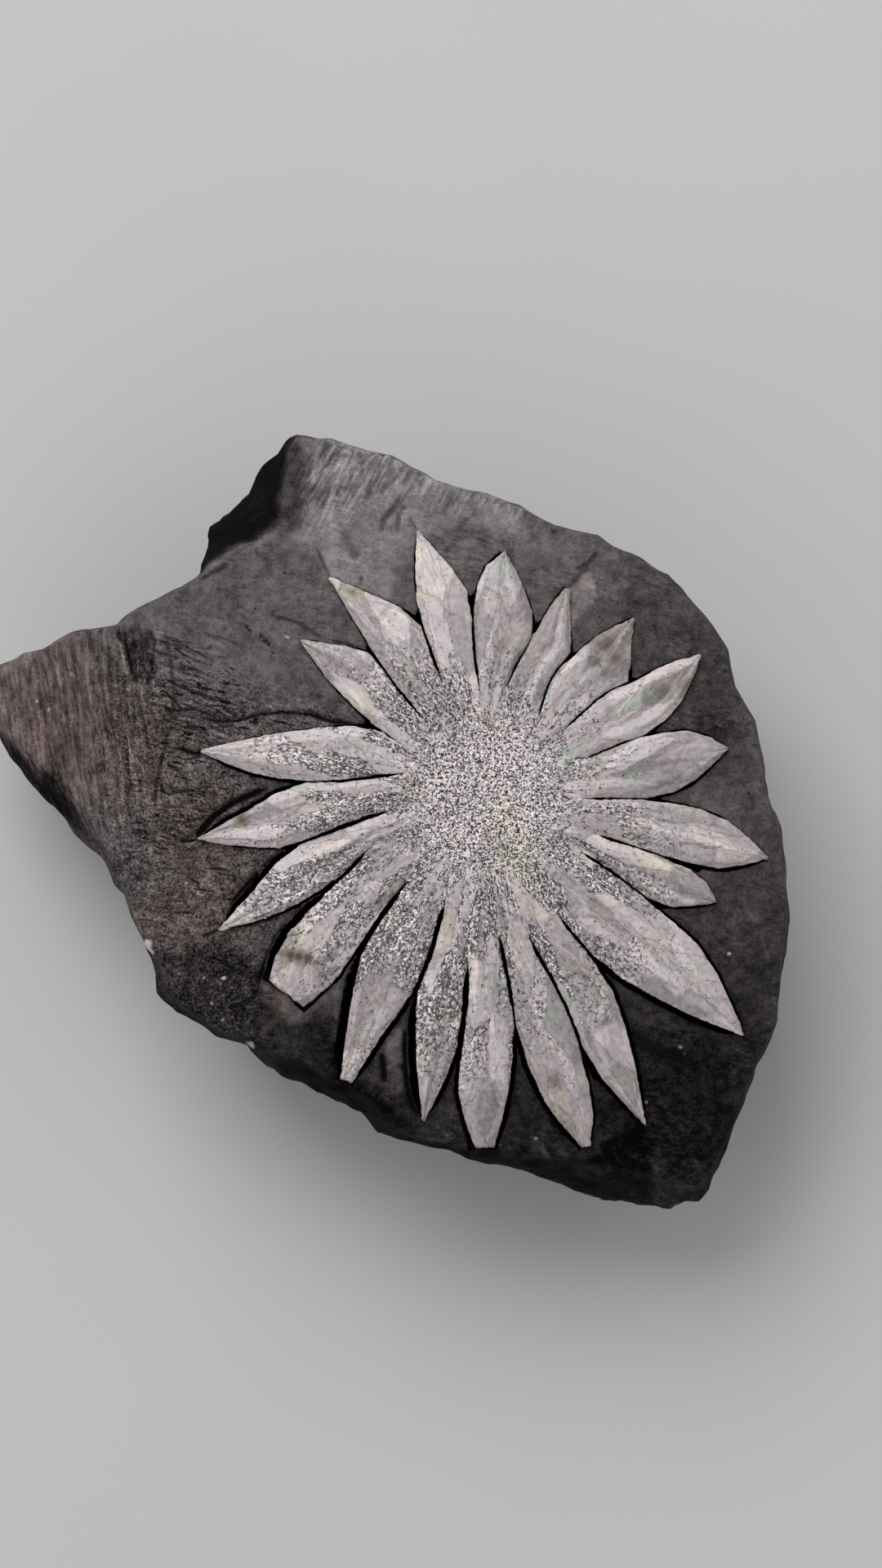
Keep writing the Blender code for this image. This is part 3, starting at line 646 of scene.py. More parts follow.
# Fields and spots hold the rock's own tone and painted light and shade: the top left facet painted
# lighter where it faces the lamp, the lower right painted darker where it turns away, and a shaded
# cavity at the far left.
# change of tone, softness of the border in mm, outline in the frame
TONE_AND_LIGHT_FIELDS = (
    (0.125, 0.7, (396, 500, 480, 520, 640, 580, 645, 655, 560, 640, 528, 660, 512, 650, 482, 700,
        480, 765, 404, 706, 397, 694, 356, 655, 372, 600, 380, 560)),
    (-0.11, 0.5, (350, 535, 366, 540, 384, 590, 378, 642, 352, 650)),
    (0.04, 0.3, (390, 665, 446, 689, 463, 718, 434, 709, 400, 692)),
    (-0.03, 0.6, (516, 606, 560, 600, 600, 640, 560, 655, 520, 640)),
    (-0.14, 0.4, (145, 769, 187, 767, 191, 831, 157, 833)),
    (0.06, 0.8, (-30, 799, 34, 795, 38, 860, 50, 905, -30, 905)),
    (-0.26, 0.8, (-20, 900, 18, 922, 40, 948, 60, 944, 82, 985, 96, 1012, 60, 1000, 30, 965, -20,
        930)),
    (-0.15, 0.7, (160, 1150, 200, 1172, 231, 1163, 262, 1150, 290, 1160, 315, 1185, 320, 1212, 335,
        1236, 352, 1250, 368, 1254, 382, 1240, 402, 1222, 414, 1230, 424, 1330, 400, 1420, 200,
        1420, 130, 1200)),
    (0.02, 0.2, (322, 1216, 340, 1218, 362, 1246, 350, 1262, 330, 1248)),
    (0.05, 0.2, (246, 1250, 262, 1247, 278, 1256, 266, 1264, 250, 1260)),
    (-0.10, 0.5, (340, 1300, 372, 1296, 400, 1330, 420, 1345, 400, 1370, 350, 1335)),
    (-0.11, 0.5, (436, 1322, 506, 1372, 528, 1402, 617, 1408, 640, 1412, 714, 1424, 751, 1398, 788,
        1380, 800, 1420, 800, 1510, 380, 1510, 400, 1340)),
    (0.14, 0.15, (697, 722, 722, 698, 730, 730, 718, 745, 700, 775)),
    (0.07, 0.15, (470, 1255, 495, 1255, 496, 1335, 473, 1340)),
    (0.08, 0.4, (700, 1432, 728, 1428, 748, 1440, 735, 1450, 705, 1446)),
)
# place in the frame, reach x and y in pixels, change of tone
TONE_AND_LIGHT_SPOTS = (
    (450, 570, 120, 50, 0.01), (700, 680, 60, 40, 0.045), (250, 1060, 90, 90, -0.02),
    (240, 890, 90, 40, -0.03), (850, 820, 110, 130, -0.10), (940, 1160, 60, 70, -0.05),
    (230, 1110, 60, 40, 0.05), (860, 1330, 160, 190, -0.20), (620, 1370, 230, 90, -0.14),
    (270, 1240, 110, 60, -0.03), (450, 1340, 80, 60, -0.09), (225, 1195, 30, 20, 0.04),
    (880, 895, 30, 20, -0.10), (780, 1450, 110, 60, -0.05), (150, 950, 40, 40, 0.03),
    (165, 1085, 40, 30, -0.03),
)
# place in the frame, reach in pixels, strength
STAINS = (
    (334, 1230, 13, 1.0), (345, 1246, 11, 0.9), (60, 890, 150, 0.85), (160, 920, 120, 0.70),
    (40, 820, 70, 0.75), (250, 1110, 90, 0.80), (185, 1130, 60, 0.75), (690, 700, 60, 0.40),
    (880, 1380, 90, 0.45), (840, 1330, 60, 0.40), (640, 660, 50, 0.40), (290, 1010, 9, 0.8),
    (250, 1020, 100, 0.75), (910, 1080, 80, 0.50), (470, 1300, 30, 0.40), (860, 780, 60, 0.20),
)
BASE_STAIN = 0.32
BORDER_WAVE = (0.35, 1.6)  # how far the fields' borders wander, and over what length, in mm
PEAK_STAIN = (-0.30, 1.5)  # change of stain within the first field, and its softness in mm


def in_frame(plan):
    return plan * (PIXELS_PER_MM, -PIXELS_PER_MM) + FRAME_HEART


def within_field(plan, outline, soft):
    """1 well inside an outline, 0 well outside it."""
    path = np.vstack((outline, outline[:1]))
    near = near_path(plan, path, soft)
    away, _ = distance_to(plan[near], path)
    away[inside(plan[near], outline)] *= -1.0
    share = np.zeros(len(plan))
    share[near] = smoothstep(soft, -soft, away)
    return share


def patchwork(plan, patches):
    """Soft round spots; where they overlap, the strongest one shows."""
    total = np.zeros(len(plan))
    spots = in_frame(plan)
    for x, y, reach, strength in patches:
        away = ((spots - (x, y)) ** 2).sum(1) / reach ** 2
        total = np.maximum(total, strength * np.exp(-away))
    return total


bent_plan = rock_plan + np.column_stack([
    BORDER_WAVE[0] * clouds(rock_points + shift, BORDER_WAVE[1], 2) for shift in (3.0, 8.0)])
rock_tone_and_light = np.full(len(rock_points), BASE_TONE)
for change, soft, pixels in TONE_AND_LIGHT_FIELDS:
    rock_tone_and_light += change * within_field(bent_plan, seen_at(*pixels), soft)
for x, y, reach_x, reach_y, change in TONE_AND_LIGHT_SPOTS:
    away = ((in_frame(rock_plan) - (x, y)) / (reach_x, reach_y)) ** 2
    rock_tone_and_light += change * np.exp(-away.sum(1))
rock_stain = np.maximum(BASE_STAIN, patchwork(rock_plan, STAINS))
rock_stain += PEAK_STAIN[0] * within_field(bent_plan, seen_at(*TONE_AND_LIGHT_FIELDS[0][2]), PEAK_STAIN[1])
print("tone from", rock_tone_and_light.min().round(2), "to", rock_tone_and_light.max().round(2))

# %% Ground combed by the tools
# outline in the frame of the ground combed upright
COMBED = (-30, 780, 60, 775, 150, 760, 192, 765, 196, 850, 190, 1000, 100, 1030, -30, 930)
# of the ground combed at a slant
RAKED = (358, 530, 480, 520, 640, 580, 700, 640, 560, 625, 500, 600, 440, 625, 375, 655)
# of the ground crumbled by the graver
CRUMBLED = (150, 800, 300, 850, 420, 880, 330, 960, 360, 1060, 330, 1180, 300, 1300, 120, 1250,
            120, 900)
# and of the ground scored by a blunt graver
SCORED = (192, 775, 262, 800, 330, 850, 420, 878, 330, 900, 300, 1000, 200, 1060, 150, 1060,
          190, 900)
EVEN_GROUND = 0.3  # how much of the crumbly grain the even ground has
BROKEN_GROUND = 0.8  # and the broken sides

rock_comb, rock_rake, rock_score, crumbled = (
    within_field(rock_plan, seen_at(*outline), soft)
    for outline, soft in ((COMBED, 0.8), (RAKED, 1.2), (SCORED, 1.6), (CRUMBLED, 2.5)))
rock_crisp = EVEN_GROUND + (1.0 - EVEN_GROUND) * crumbled
rock_crisp = np.maximum(rock_crisp, BROKEN_GROUND * smoothstep(0.5, 3.0, rock_depth))
print("combed points:", (rock_comb > 0.5).sum(), "raked points:", (rock_rake > 0.5).sum())

# %% Painted shade in the grooves, beside the petals and on the notch of the broken edge
NOTCH = seen_at(362, 528, 352, 560, 348, 600, 356, 632, 325, 658, 295, 677, 268, 690, 243, 700,
                225, 700, 225, 600, 340, 515)
# For each petal, the gap to the rock on its left, as seen from the heart, and on its right, in mm
GAPS = np.array((
    (0.10, 0.10), (0.08, 0.08), (0.06, 0.02), (0.03, 0.03), (0.03, 0.04),
    (0.16, 0.22), (0.04, 0.28), (0.10, 0.20), (0.25, 0.48), (0.34, 0.36),
    (0.22, 0.46), (0.42, 0.42), (0.42, 0.75), (0.45, 0.85), (0.26, 0.64),
    (0.26, 0.60), (0.20, 0.38), (0.34, 0.05), (0.16, 0.04), (0.10, 0.08),
))
SHADE_REACH = (0.9, 0.3)  # mm from a petal where a wide gap starts to darken the rock, and fully
TIP_GAP = 0.12  # share of the gap that is left at a petal's tip
TIP_REACH = (0.4, 2.6)  # mm from the tip
# The side facet in the notch at the upper left gets painted shade: its tone drops nearly to black
# and dark is laid over it, as it faces away from the lamp; the rock there is dark too. The rim
# above it is painted darker as well.
NOTCH_SHADED_TONE = 0.02
NOTCH_PAINTED_SHADE = 0.35
NOTCH_START = (0.2, 1.6)  # mm below the face where the dark side facet starts
NOTCH_END = (15.0, 5.0)  # and where it ends, give or take
NOTCH_RAGGED = (4.0, 2.5)  # depth and length in mm of the waves of that end
NOTCH_RIM_SHADE = -0.10  # change of tone on the edge above the facet
SIDE_TONES = ((0.3, 1.2, -0.06), (5.0, 9.0, 0.06))  # mm below the face, change of tone
LIGHT_MARK_AND_HIGHLIGHT = 0.25  # how much lighter a raised stroke is

tips = np.array([tip for tip, _, _ in PETALS])
to_tip = np.hypot(*(rock_plan - tips[rock_owner]).T)
right_share = smoothstep(0.3, 0.7, rock_left / (rock_left + rock_right))
gap = (1.0 - right_share) * GAPS[rock_owner, 0] + right_share * GAPS[rock_owner, 1]
gap *= TIP_GAP + (1.0 - TIP_GAP) * smoothstep(*TIP_REACH, to_tip)
notch_shade = within_field(bent_plan, NOTCH, 0.9) * smoothstep(*NOTCH_START, rock_depth)
ragged_depth = rock_depth + NOTCH_RAGGED[0] * clouds(rock_points, NOTCH_RAGGED[1])
notch_shade *= smoothstep(*NOTCH_END, ragged_depth)
# The pocket walls round the flower get painted shade, and so does the rock beside a petal where the
# gap is wide, a painted shadow; the marks' darkness joins it.
rock_soot = np.maximum(in_pocket * smoothstep(0.10, 0.35, rock_depth), mark_dark_and_shade)
shade = smoothstep(*SHADE_REACH, rock_out) * np.clip(gap / 0.5 - 0.2, 0.0, 0.6)
shaded = (near_flower | on_face) & (rock_depth > -1.0)
rock_soot = np.where(shaded, np.maximum(rock_soot, shade), rock_soot)
for start, end, change in SIDE_TONES:
    rock_tone_and_light[on_side] += change * smoothstep(start, end, rock_depth[on_side])
# painted shade on the notch facet and on its rim
rock_tone_and_light += NOTCH_RIM_SHADE * within_field(bent_plan, NOTCH, 0.5)
rock_tone_and_light += notch_shade * (NOTCH_SHADED_TONE - rock_tone_and_light)
rock_soot = np.maximum(rock_soot, NOTCH_PAINTED_SHADE * notch_shade)
# raised marks painted lighter, partly a painted highlight
rock_tone_and_light += LIGHT_MARK_AND_HIGHLIGHT * mark_light_and_highlight
print("soot over", (rock_soot > 0.5).sum(), "points, notch", (notch_shade > 0.5).sum())

# %% [markdown]
# The points now move: those of the face and the sides along their normals, and those at the
# rims of the grooves a little sideways as well, so that no cut edge is a clean curve. The rock
# keeps within the packed box, and its underside stays flat.

# %% Draw the rock up to the petals
CUT_GAP = (0.32, 0.26)  # gap of the packed solids in mm: at least, and more on one side
CUT_GAP_SIDE = math.radians(-150.0)  # that side
PULL_REACH = (1.5, 0.62)  # mm from a petal where the pull starts and where it is full
PULL_DEPTH = (1.1, 0.5)  # and the same below the face
MOST_PUSH = 0.35  # where the gap is wider, mm outwards at most
LEAST_GAP = 0.02  # mm
TIP_PULL = 0.14  # mm more at the tips
FORK_REACH = (2.2, 0.9)  # mm from a fork between two petals
FORK_CLOSING = 0.55  # share of the way to the fork


def away_from_petals(plan):
    """Unit vectors that point straight away from the nearest petal."""
    step = 0.02
    here = petal_places(plan)[1]
    slope = np.column_stack([
        petal_places(plan + shift)[1] - here for shift in ((step, 0.0), (0.0, step))])
    return slope / np.maximum(np.hypot(*slope.T), step / 10)[:, None]


outside = (rock_out > 0.0) & (rock_normals[:, 2] > -0.5)
near_petal = np.flatnonzero(
    outside & ~in_heart & (rock_out < PULL_REACH[0]) & (rock_depth < PULL_DEPTH[0]))
outward = away_from_petals(rock_plan[near_petal])
least, more = CUT_GAP
wide_way = np.array((math.cos(CUT_GAP_SIDE), math.sin(CUT_GAP_SIDE)))
pull = least + more * np.maximum(0.0, outward @ wide_way) - gap[near_petal]
pull += TIP_PULL * smoothstep(1.2, 0.3, to_tip[near_petal])
pull = np.maximum(pull, -MOST_PUSH) * smoothstep(*PULL_REACH, rock_out[near_petal])
pull *= smoothstep(*PULL_DEPTH, rock_depth[near_petal])
pull = np.minimum(pull, np.maximum(rock_out[near_petal] - LEAST_GAP, 0.0))
rock_pull = np.zeros((len(rock_points), 3))
rock_pull[near_petal, :2] = -outward * pull[:, None]
shallow = smoothstep(*PULL_DEPTH, rock_depth) * outside
for fork, _, _ in GROOVES:
    offset = rock_plan + rock_pull[:, :2] - fork
    closer = FORK_CLOSING * smoothstep(*FORK_REACH, np.hypot(*offset.T)) * shallow
    rock_pull[:, :2] -= offset * closer[:, None]
print("the rock is drawn in by up to", np.hypot(*rock_pull[:, :2].T).max().round(2), "mm")

# %% Move the points of the rock
EDGE_NICK, EDGE_NICK_SIZE = 0.08, 0.55  # mm


def nicked(points, share):
    """A sideways nudge that makes cut edges ragged."""
    nudge = np.zeros((len(points), 3))
    chosen = np.flatnonzero(share > 0.0)
    for axis, shift in ((0, 31.0), (1, -17.0)):
        waves = clouds(points[chosen] + shift, EDGE_NICK_SIZE, 2)
        nudge[chosen, axis] = EDGE_NICK * share[chosen] * waves
    return nudge


def kept_in_box(points):
    low = np.array(cad_low) / MM - np.array(HEART)
    high = np.array(cad_high) / MM - np.array(HEART)
    return np.clip(points, low, high)


def finish_piece(bm, points, name, readings):
    """Make the shaped skin an object in metres, with its readings kept on its points."""
    for vert, point in zip(bm.verts, points * MM + np.array(HEART) * MM):
        vert.co = point
    mesh = bpy.data.meshes.new(name)
    bm.to_mesh(mesh)
    bm.free()
    mesh.shade_smooth()
    for reading, values in readings.items():
        kept = mesh.attributes.new(reading, "FLOAT", "POINT")
        kept.data.foreach_set("value", np.clip(values, 0.0, 1.0).astype(np.float32))
    piece = bpy.data.objects.new(name, mesh)
    bpy.context.collection.objects.link(piece)
    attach(piece, "root")
    print(name, len(mesh.vertices), "points,", len(mesh.polygons), "faces")
    return piece


on_base = rock_points[:, 2] < 0.01
rock_lift[on_base] = 0.0
ragged = near_flower * smoothstep(1.2, 0.4, rock_depth) * np.clip(gap / 0.3, 0.2, 1.0)
moved = rock_points + rock_normals * rock_lift[:, None] + rock_pull + nicked(rock_points, ragged)
moved[on_base, 2] = 0.0
rock_piece = finish_piece(rock_bm, kept_in_box(moved), "scraped_rock", {
    "tone": rock_tone_and_light, "stain": rock_stain, "soot": rock_soot, "white": rock_white,
    "comb": rock_comb, "rake": rock_rake, "crisp": rock_crisp, "score": rock_score,
})
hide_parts("matrix_rock")

# %% [markdown]
# ## The crystal flower
# A petal isn't one crystal. It is a sheaf of thin blades that lie side by side along it and end in
# points, each turned a little so that it catches the light in its own way. Towards the heart the
# blades give way to sugary grains. The blades are laid one over another like shingles, each a
# pointed leaf that follows the petal's own edges, and the last one laid is the one that shows.

# %% Cut the flower's skin finer
CRYSTAL_EDGE = 0.29
CRYSTAL_SIDE_EDGE = 0.8
CRYSTAL_SIDE_START = 0.2  # mm below the face
CRYSTAL_ROOT_START = 0.9


def flower_edge_lengths(middles):
    depth = face_height(middles) - middles[:, 2]
    allowed = np.full(len(middles), CRYSTAL_EDGE)
    allowed[depth > CRYSTAL_SIDE_START] = CRYSTAL_SIDE_EDGE
    allowed[depth > CRYSTAL_ROOT_START] = HIDDEN_EDGE
    return allowed


flower_bm = merged_copy("crystal_flower")
refine(flower_bm, flower_edge_lengths)
flower_points, flower_normals = skin_arrays(flower_bm)
flower_plan = flower_points[:, :2]
flower_depth = face_height(flower_points) - flower_points[:, 2]
flower_owner, _, to_left, to_right = petal_places(flower_plan)
flower_radius = np.hypot(*flower_plan.T)
on_top = (flower_depth < 0.05) & (flower_normals[:, 2] > 0.2)
print("flower:", len(flower_points), "points,", len(flower_bm.faces), "faces, top", on_top.sum())

# %% Where the heart is and how it merges
HEART_BORDER = 1.2  # mm, half the width of the heart's soft border
MERGE_HEIGHT = 0.55  # mm above the face where heart and petals meet
MERGE_REACH = 2.2  # mm to each side of the heart's border
MERGE_SHARE = 0.8  # how much of the step between heart and petals is evened out

ring_way, _ = distance_to(flower_plan, np.vstack((heart_ring, heart_ring[:1])))
ring_way[inside(flower_plan, heart_ring)] *= -1.0
heart_share = smoothstep(HEART_BORDER, -HEART_BORDER, ring_way)
merge_share = on_top * smoothstep(MERGE_REACH, 0.0, np.abs(ring_way)) * MERGE_SHARE
print("heart holds", (heart_share > 0.5).sum(), "points")

# %% Blades of the petals
BLADE_SEED = 60
BLADES_PER_MM = 1.9
SPARE_BLADES = 6
BLADE_START, BLADE_END = -1.5, 1.0  # mm out of a petal's root and short of its tip
BLADE_SPREAD = 0.9  # places across the petal, as a share of half its width
BLADE_REACH = (1.5, 4.2)  # half a blade's length, mm
BLADE_WIDTH = (0.16, 0.5)  # half its width, as a share of the petal's
BLADE_LEAN = 0.16
BLADE_STEP = 0.055  # mm that one blade lies above another
BLADE_TURN = 0.16
BLADE_EDGE = 0.10
SEAM_WIDTH = 0.09
LEAF_FULL = 1.089  # greatest value of the leaf's outline, which makes its width 1


def lay_blades(k, mine):
    """Lift, tone, seam and tint of the blades of one petal."""
    root = (np.array(GROOVES[k - 1][2]) + np.array(GROOVES[k][2])) / 2
    reach = np.array(PETALS[k][0]) - root
    length = np.hypot(*reach)
    along = (flower_plan[mine] - root) @ (reach / length)
    half = (to_left[mine] + to_right[mine]) / 2
    across = (to_left[mine] - to_right[mine]) / 2 / half
    rng = np.random.default_rng(BLADE_SEED + k)
    lift, tone, seam, tint = np.zeros((4, len(mine)))
    for _ in range(int(length * BLADES_PER_MM) + SPARE_BLADES):
        middle = rng.uniform(BLADE_START, length - BLADE_END)
        long = rng.uniform(*BLADE_REACH)
        place = rng.uniform(-BLADE_SPREAD, BLADE_SPREAD)
        lean, turn, level, shade, hue = rng.uniform(-1.0, 1.0, 5)
        t = (along - middle) / long
        leaf = np.sqrt(np.clip(1.0 + t, 0.0, 2.0)) * np.clip(1.0 - t, 0.0, 2.0) / LEAF_FULL
        side = across - place - lean * BLADE_LEAN * t
        inner = (leaf * rng.uniform(*BLADE_WIDTH) - np.abs(side)) * half
        over = np.flatnonzero(inner > 0.0)
        rise = smoothstep(0.0, BLADE_EDGE, inner[over])
        lift[over] = BLADE_STEP * level * rise + BLADE_TURN * turn * side[over] * half[over]
        seam[over] = smoothstep(SEAM_WIDTH, SEAM_WIDTH / 3, inner[over])
        tone[over] = shade
        tint[over] = hue
    return lift, tone, seam, tint


blade_lift, blade_tone, blade_seam, blade_tint = np.zeros((4, len(flower_points)))
for k in range(len(PETALS)):
    mine = np.flatnonzero((flower_owner == k) & on_top)
    for kept, made in zip((blade_lift, blade_tone, blade_seam, blade_tint), lay_blades(k, mine)):
        kept[mine] = made
print("blades lift the petals by", blade_lift.min().round(2), "to", blade_lift.max().round(2), "mm")

# %% Grains of the heart
GRAIN_WAY = math.radians(238.0)  # the grains reach furthest out this way
SMOOTH_WAY = math.radians(35.0)  # and are fewest this way
SMOOTH_START = (1.5, 4.5)  # mm from the heart
SMOOTHING = 0.55
GRAIN_REACH = (13.5, 7.0)  # mm from the heart, and how much that changes with the way
GRAIN_FADE = (7.0, -4.0)  # mm further out where the grains end and where all have come
GRAIN_SHARES = (0.15, 0.75)  # share of grains on a petal's tip, and more further in
BORDER_BLUR = (1.6, 2.2)  # how far the borders wander, and over what length, in mm
FULL_GRAIN = (10.5, 5.0)  # mm from the heart where all starts to be grain, and is
GRAIN_DEPTH, GRAIN_SIZE = 0.08, 0.42
LUMP_DEPTH, LUMP_SIZE = 0.10, 1.3

way = np.arctan2(flower_plan[:, 1], flower_plan[:, 0])
reach = GRAIN_REACH[0] + GRAIN_REACH[1] * np.cos(way - GRAIN_WAY)
blurred_radius = flower_radius + BORDER_BLUR[0] * clouds(flower_points, BORDER_BLUR[1], 3)
near_share = smoothstep(reach + GRAIN_FADE[0], reach + GRAIN_FADE[1], blurred_radius)
grain_share = GRAIN_SHARES[0] + GRAIN_SHARES[1] * near_share
whole = smoothstep(*FULL_GRAIN, blurred_radius)
smooth_side = smoothstep(0.2, 1.0, np.cos(way - SMOOTH_WAY))
smooth_side *= smoothstep(*SMOOTH_START, flower_radius)
grain_share += (1.0 - grain_share) * whole * (1.0 - SMOOTHING * smooth_side)
grain_lift = GRAIN_DEPTH * grain_share * clouds(flower_points, GRAIN_SIZE, 2)
grain_lift += LUMP_DEPTH * heart_share * clouds(flower_points + 9.0, LUMP_SIZE, 2)
print("grains cover", round(float(grain_share[on_top].mean()), 2), "of the top")

# %% [markdown]
# ## Tints of the crystals
# The crystals are mostly a pale pinkish grey. Some blades are cream or greenish, and iron has left
# a few small yellow and brown patches. Noise could strew them, but they are what tells this stone
# from another, so each is a soft round spot, listed one by one.

# %% Patches of tint on the flower
BLADE_TINT = 0.18
# for each petal, how much lighter or darker it is than the rest
PETAL_TONES = np.array((0.45, -0.15, 0.0, -0.2, -0.1, -0.15, 0.0, 0.0, 0.0, -0.2,
                        -0.45, 0.05, 0.0, 0.0, -0.4, 0.0, 0.15, 0.5, 0.1, 0.05))
# place in the frame, reach in pixels, strength towards cream
CREAMS = (
    (522, 672, 22, 0.7), (552, 715, 16, 0.8), (430, 730, 24, 0.6), (330, 910, 46, 0.8),
    (618, 998, 24, 1.0), (630, 1046, 26, 1.0), (588, 875, 16, 0.6), (620, 1060, 30, 0.5),
    (690, 745, 18, 0.6), (770, 790, 16, 0.5), (835, 830, 20, 0.7), (675, 1300, 18, 0.4),
    (420, 1300, 16, 0.25), (380, 1140, 24, 0.2), (800, 1190, 30, 0.3), (300, 1010, 14, 0.7),
)
# place in the frame, reach in pixels, strength towards green
GREENS = (
    (615, 700, 26, 0.7), (500, 897, 16, 0.7), (575, 940, 12, 0.6), (540, 1070, 26, 0.8),
    (345, 1085, 34, 0.8), (360, 945, 40, 0.6), (440, 905, 22, 0.6), (690, 980, 22, 0.5),
    (605, 1210, 16, 0.7), (670, 1230, 40, 0.6), (780, 940, 30, 0.5), (650, 850, 20, 0.4),
    (688, 925, 20, 0.6), (840, 1190, 40, 0.4), (430, 1090, 26, 0.5), (590, 1310, 20, 0.4),
)
# place in the frame, reach in pixels, strength of the brown
RUSTS = (
    (366, 1171, 9, 1.0), (356, 1169, 8, 1.0), (377, 1174, 8, 1.0), (386, 1178, 6, 0.8),
    (346, 1168, 6, 0.7), (744, 790, 12, 0.7), (752, 806, 10, 0.75), (730, 812, 9, 0.7),
    (764, 782, 8, 0.4), (741, 822, 7, 0.5), (838, 838, 13, 0.55), (812, 848, 11, 0.6),
    (826, 826, 9, 0.4), (800, 836, 7, 0.4), (678, 1325, 12, 0.6), (296, 1002, 9, 0.9),
    (432, 725, 6, 0.6), (598, 882, 7, 0.5), (640, 800, 5, 0.4), (610, 1035, 14, 0.3),
    (555, 690, 5, 0.3), (712, 786, 5, 0.8), (722, 784, 5, 0.8), (732, 788, 5, 0.7),
    (703, 838, 4, 0.6), (745, 868, 5, 0.5),
)

flower_tint = 0.5 + 0.5 * patchwork(flower_plan, CREAMS) - 0.5 * patchwork(flower_plan, GREENS)
flower_tint += BLADE_TINT * blade_tint * (1.0 - whole)
flower_rust = patchwork(flower_plan, RUSTS)
print("tint from", flower_tint.min().round(2), "to", flower_tint.max().round(2))

# %% Narrow the grooves between the petals, and draw them to a point at the heart
TAPER_LENGTH = 2.4  # mm
TAPER_REACH = 0.75
TAPER_SHARE = 0.85  # share of a groove that is closed at its inner end
HALF_SLOT = 0.30
FORK_FADE = 1.6  # mm from the fork where the narrowing starts
NARROWED = (0.42, 0.16)  # share that is closed, at the right of the heart and at its left


def tapered(plan):
    """Sideways moves that narrow the grooves and close their inner ends."""
    moves = np.zeros((len(plan), 3))
    for fork, bend, end in GROOVES:
        path = smooth_path([np.array(point) for point in (end, bend, fork)])
        near = near_path(plan, path, TAPER_REACH)
        away, place = distance_to(plan[near], path)
        spots = place * (len(path) - 1)
        low = np.minimum(spots.astype(int), len(path) - 2)
        foot = path[low] + (path[low + 1] - path[low]) * (spots - low)[:, None]
        inward = (foot - plan[near]) / np.maximum(away, 1e-6)[:, None]
        from_heart, from_fork = (np.hypot(*(foot - path[n]).T) for n in (0, -1))
        narrowed = NARROWED[0] if bend[0] > 0.0 else NARROWED[1]
        shut = np.maximum(TAPER_SHARE * smoothstep(TAPER_LENGTH, 0.0, from_heart),
                          narrowed * smoothstep(0.0, FORK_FADE, from_fork))
        shift = np.minimum(HALF_SLOT, away) * shut * smoothstep(TAPER_REACH, HALF_SLOT, away)
        moves[near, :2] += inward * shift[:, None]
    return moves


flower_taper = tapered(flower_plan)
print("grooves close by up to", np.hypot(*flower_taper[:, :2].T).max().round(2), "mm a side")

# %% Move the points of the flower
TIP_NICKS = (0.6, 1.1)  # share of the nicks along a petal's edge, and more at its tip
BLADE_TONE = 0.45  # how far the blades of a petal differ in lightness

petal_share = 1.0 - whole
flower_lift = np.where(on_top, blade_lift * petal_share + grain_lift, 0.0)
moved = flower_points + flower_normals * flower_lift[:, None] + flower_taper
level = face_height(flower_points) + MERGE_HEIGHT + flower_lift
moved[:, 2] += merge_share * (level - moved[:, 2])
tip_share = smoothstep(1.6, 0.4, np.hypot(*(flower_plan - tips[flower_owner]).T))
ragged = smoothstep(1.2, 0.6, flower_depth) * petal_share
moved += nicked(flower_points, ragged * (TIP_NICKS[0] + TIP_NICKS[1] * tip_share))
flower_blade = BLADE_TONE * blade_tone + PETAL_TONES[flower_owner]
# The crystal's sides below the face get painted shade, as they stand down in the slot.
flower_piece = finish_piece(flower_bm, kept_in_box(moved), "crystal_petals", {
    "blade": 0.5 + flower_blade * petal_share, "seam": blade_seam * petal_share,
    "grain": grain_share, "tint": flower_tint, "rust": flower_rust,
    "soot": smoothstep(0.0, 0.25, flower_depth),
})
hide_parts("crystal_flower")

# %% [markdown]
# ## Finishes
# A finish is a small net of nodes. Each call below adds one node, feeds it and hands back its
# result, so that a recipe reads from top to bottom.

# %% Short calls for nodes
BUMP_STRENGTH = 0.9


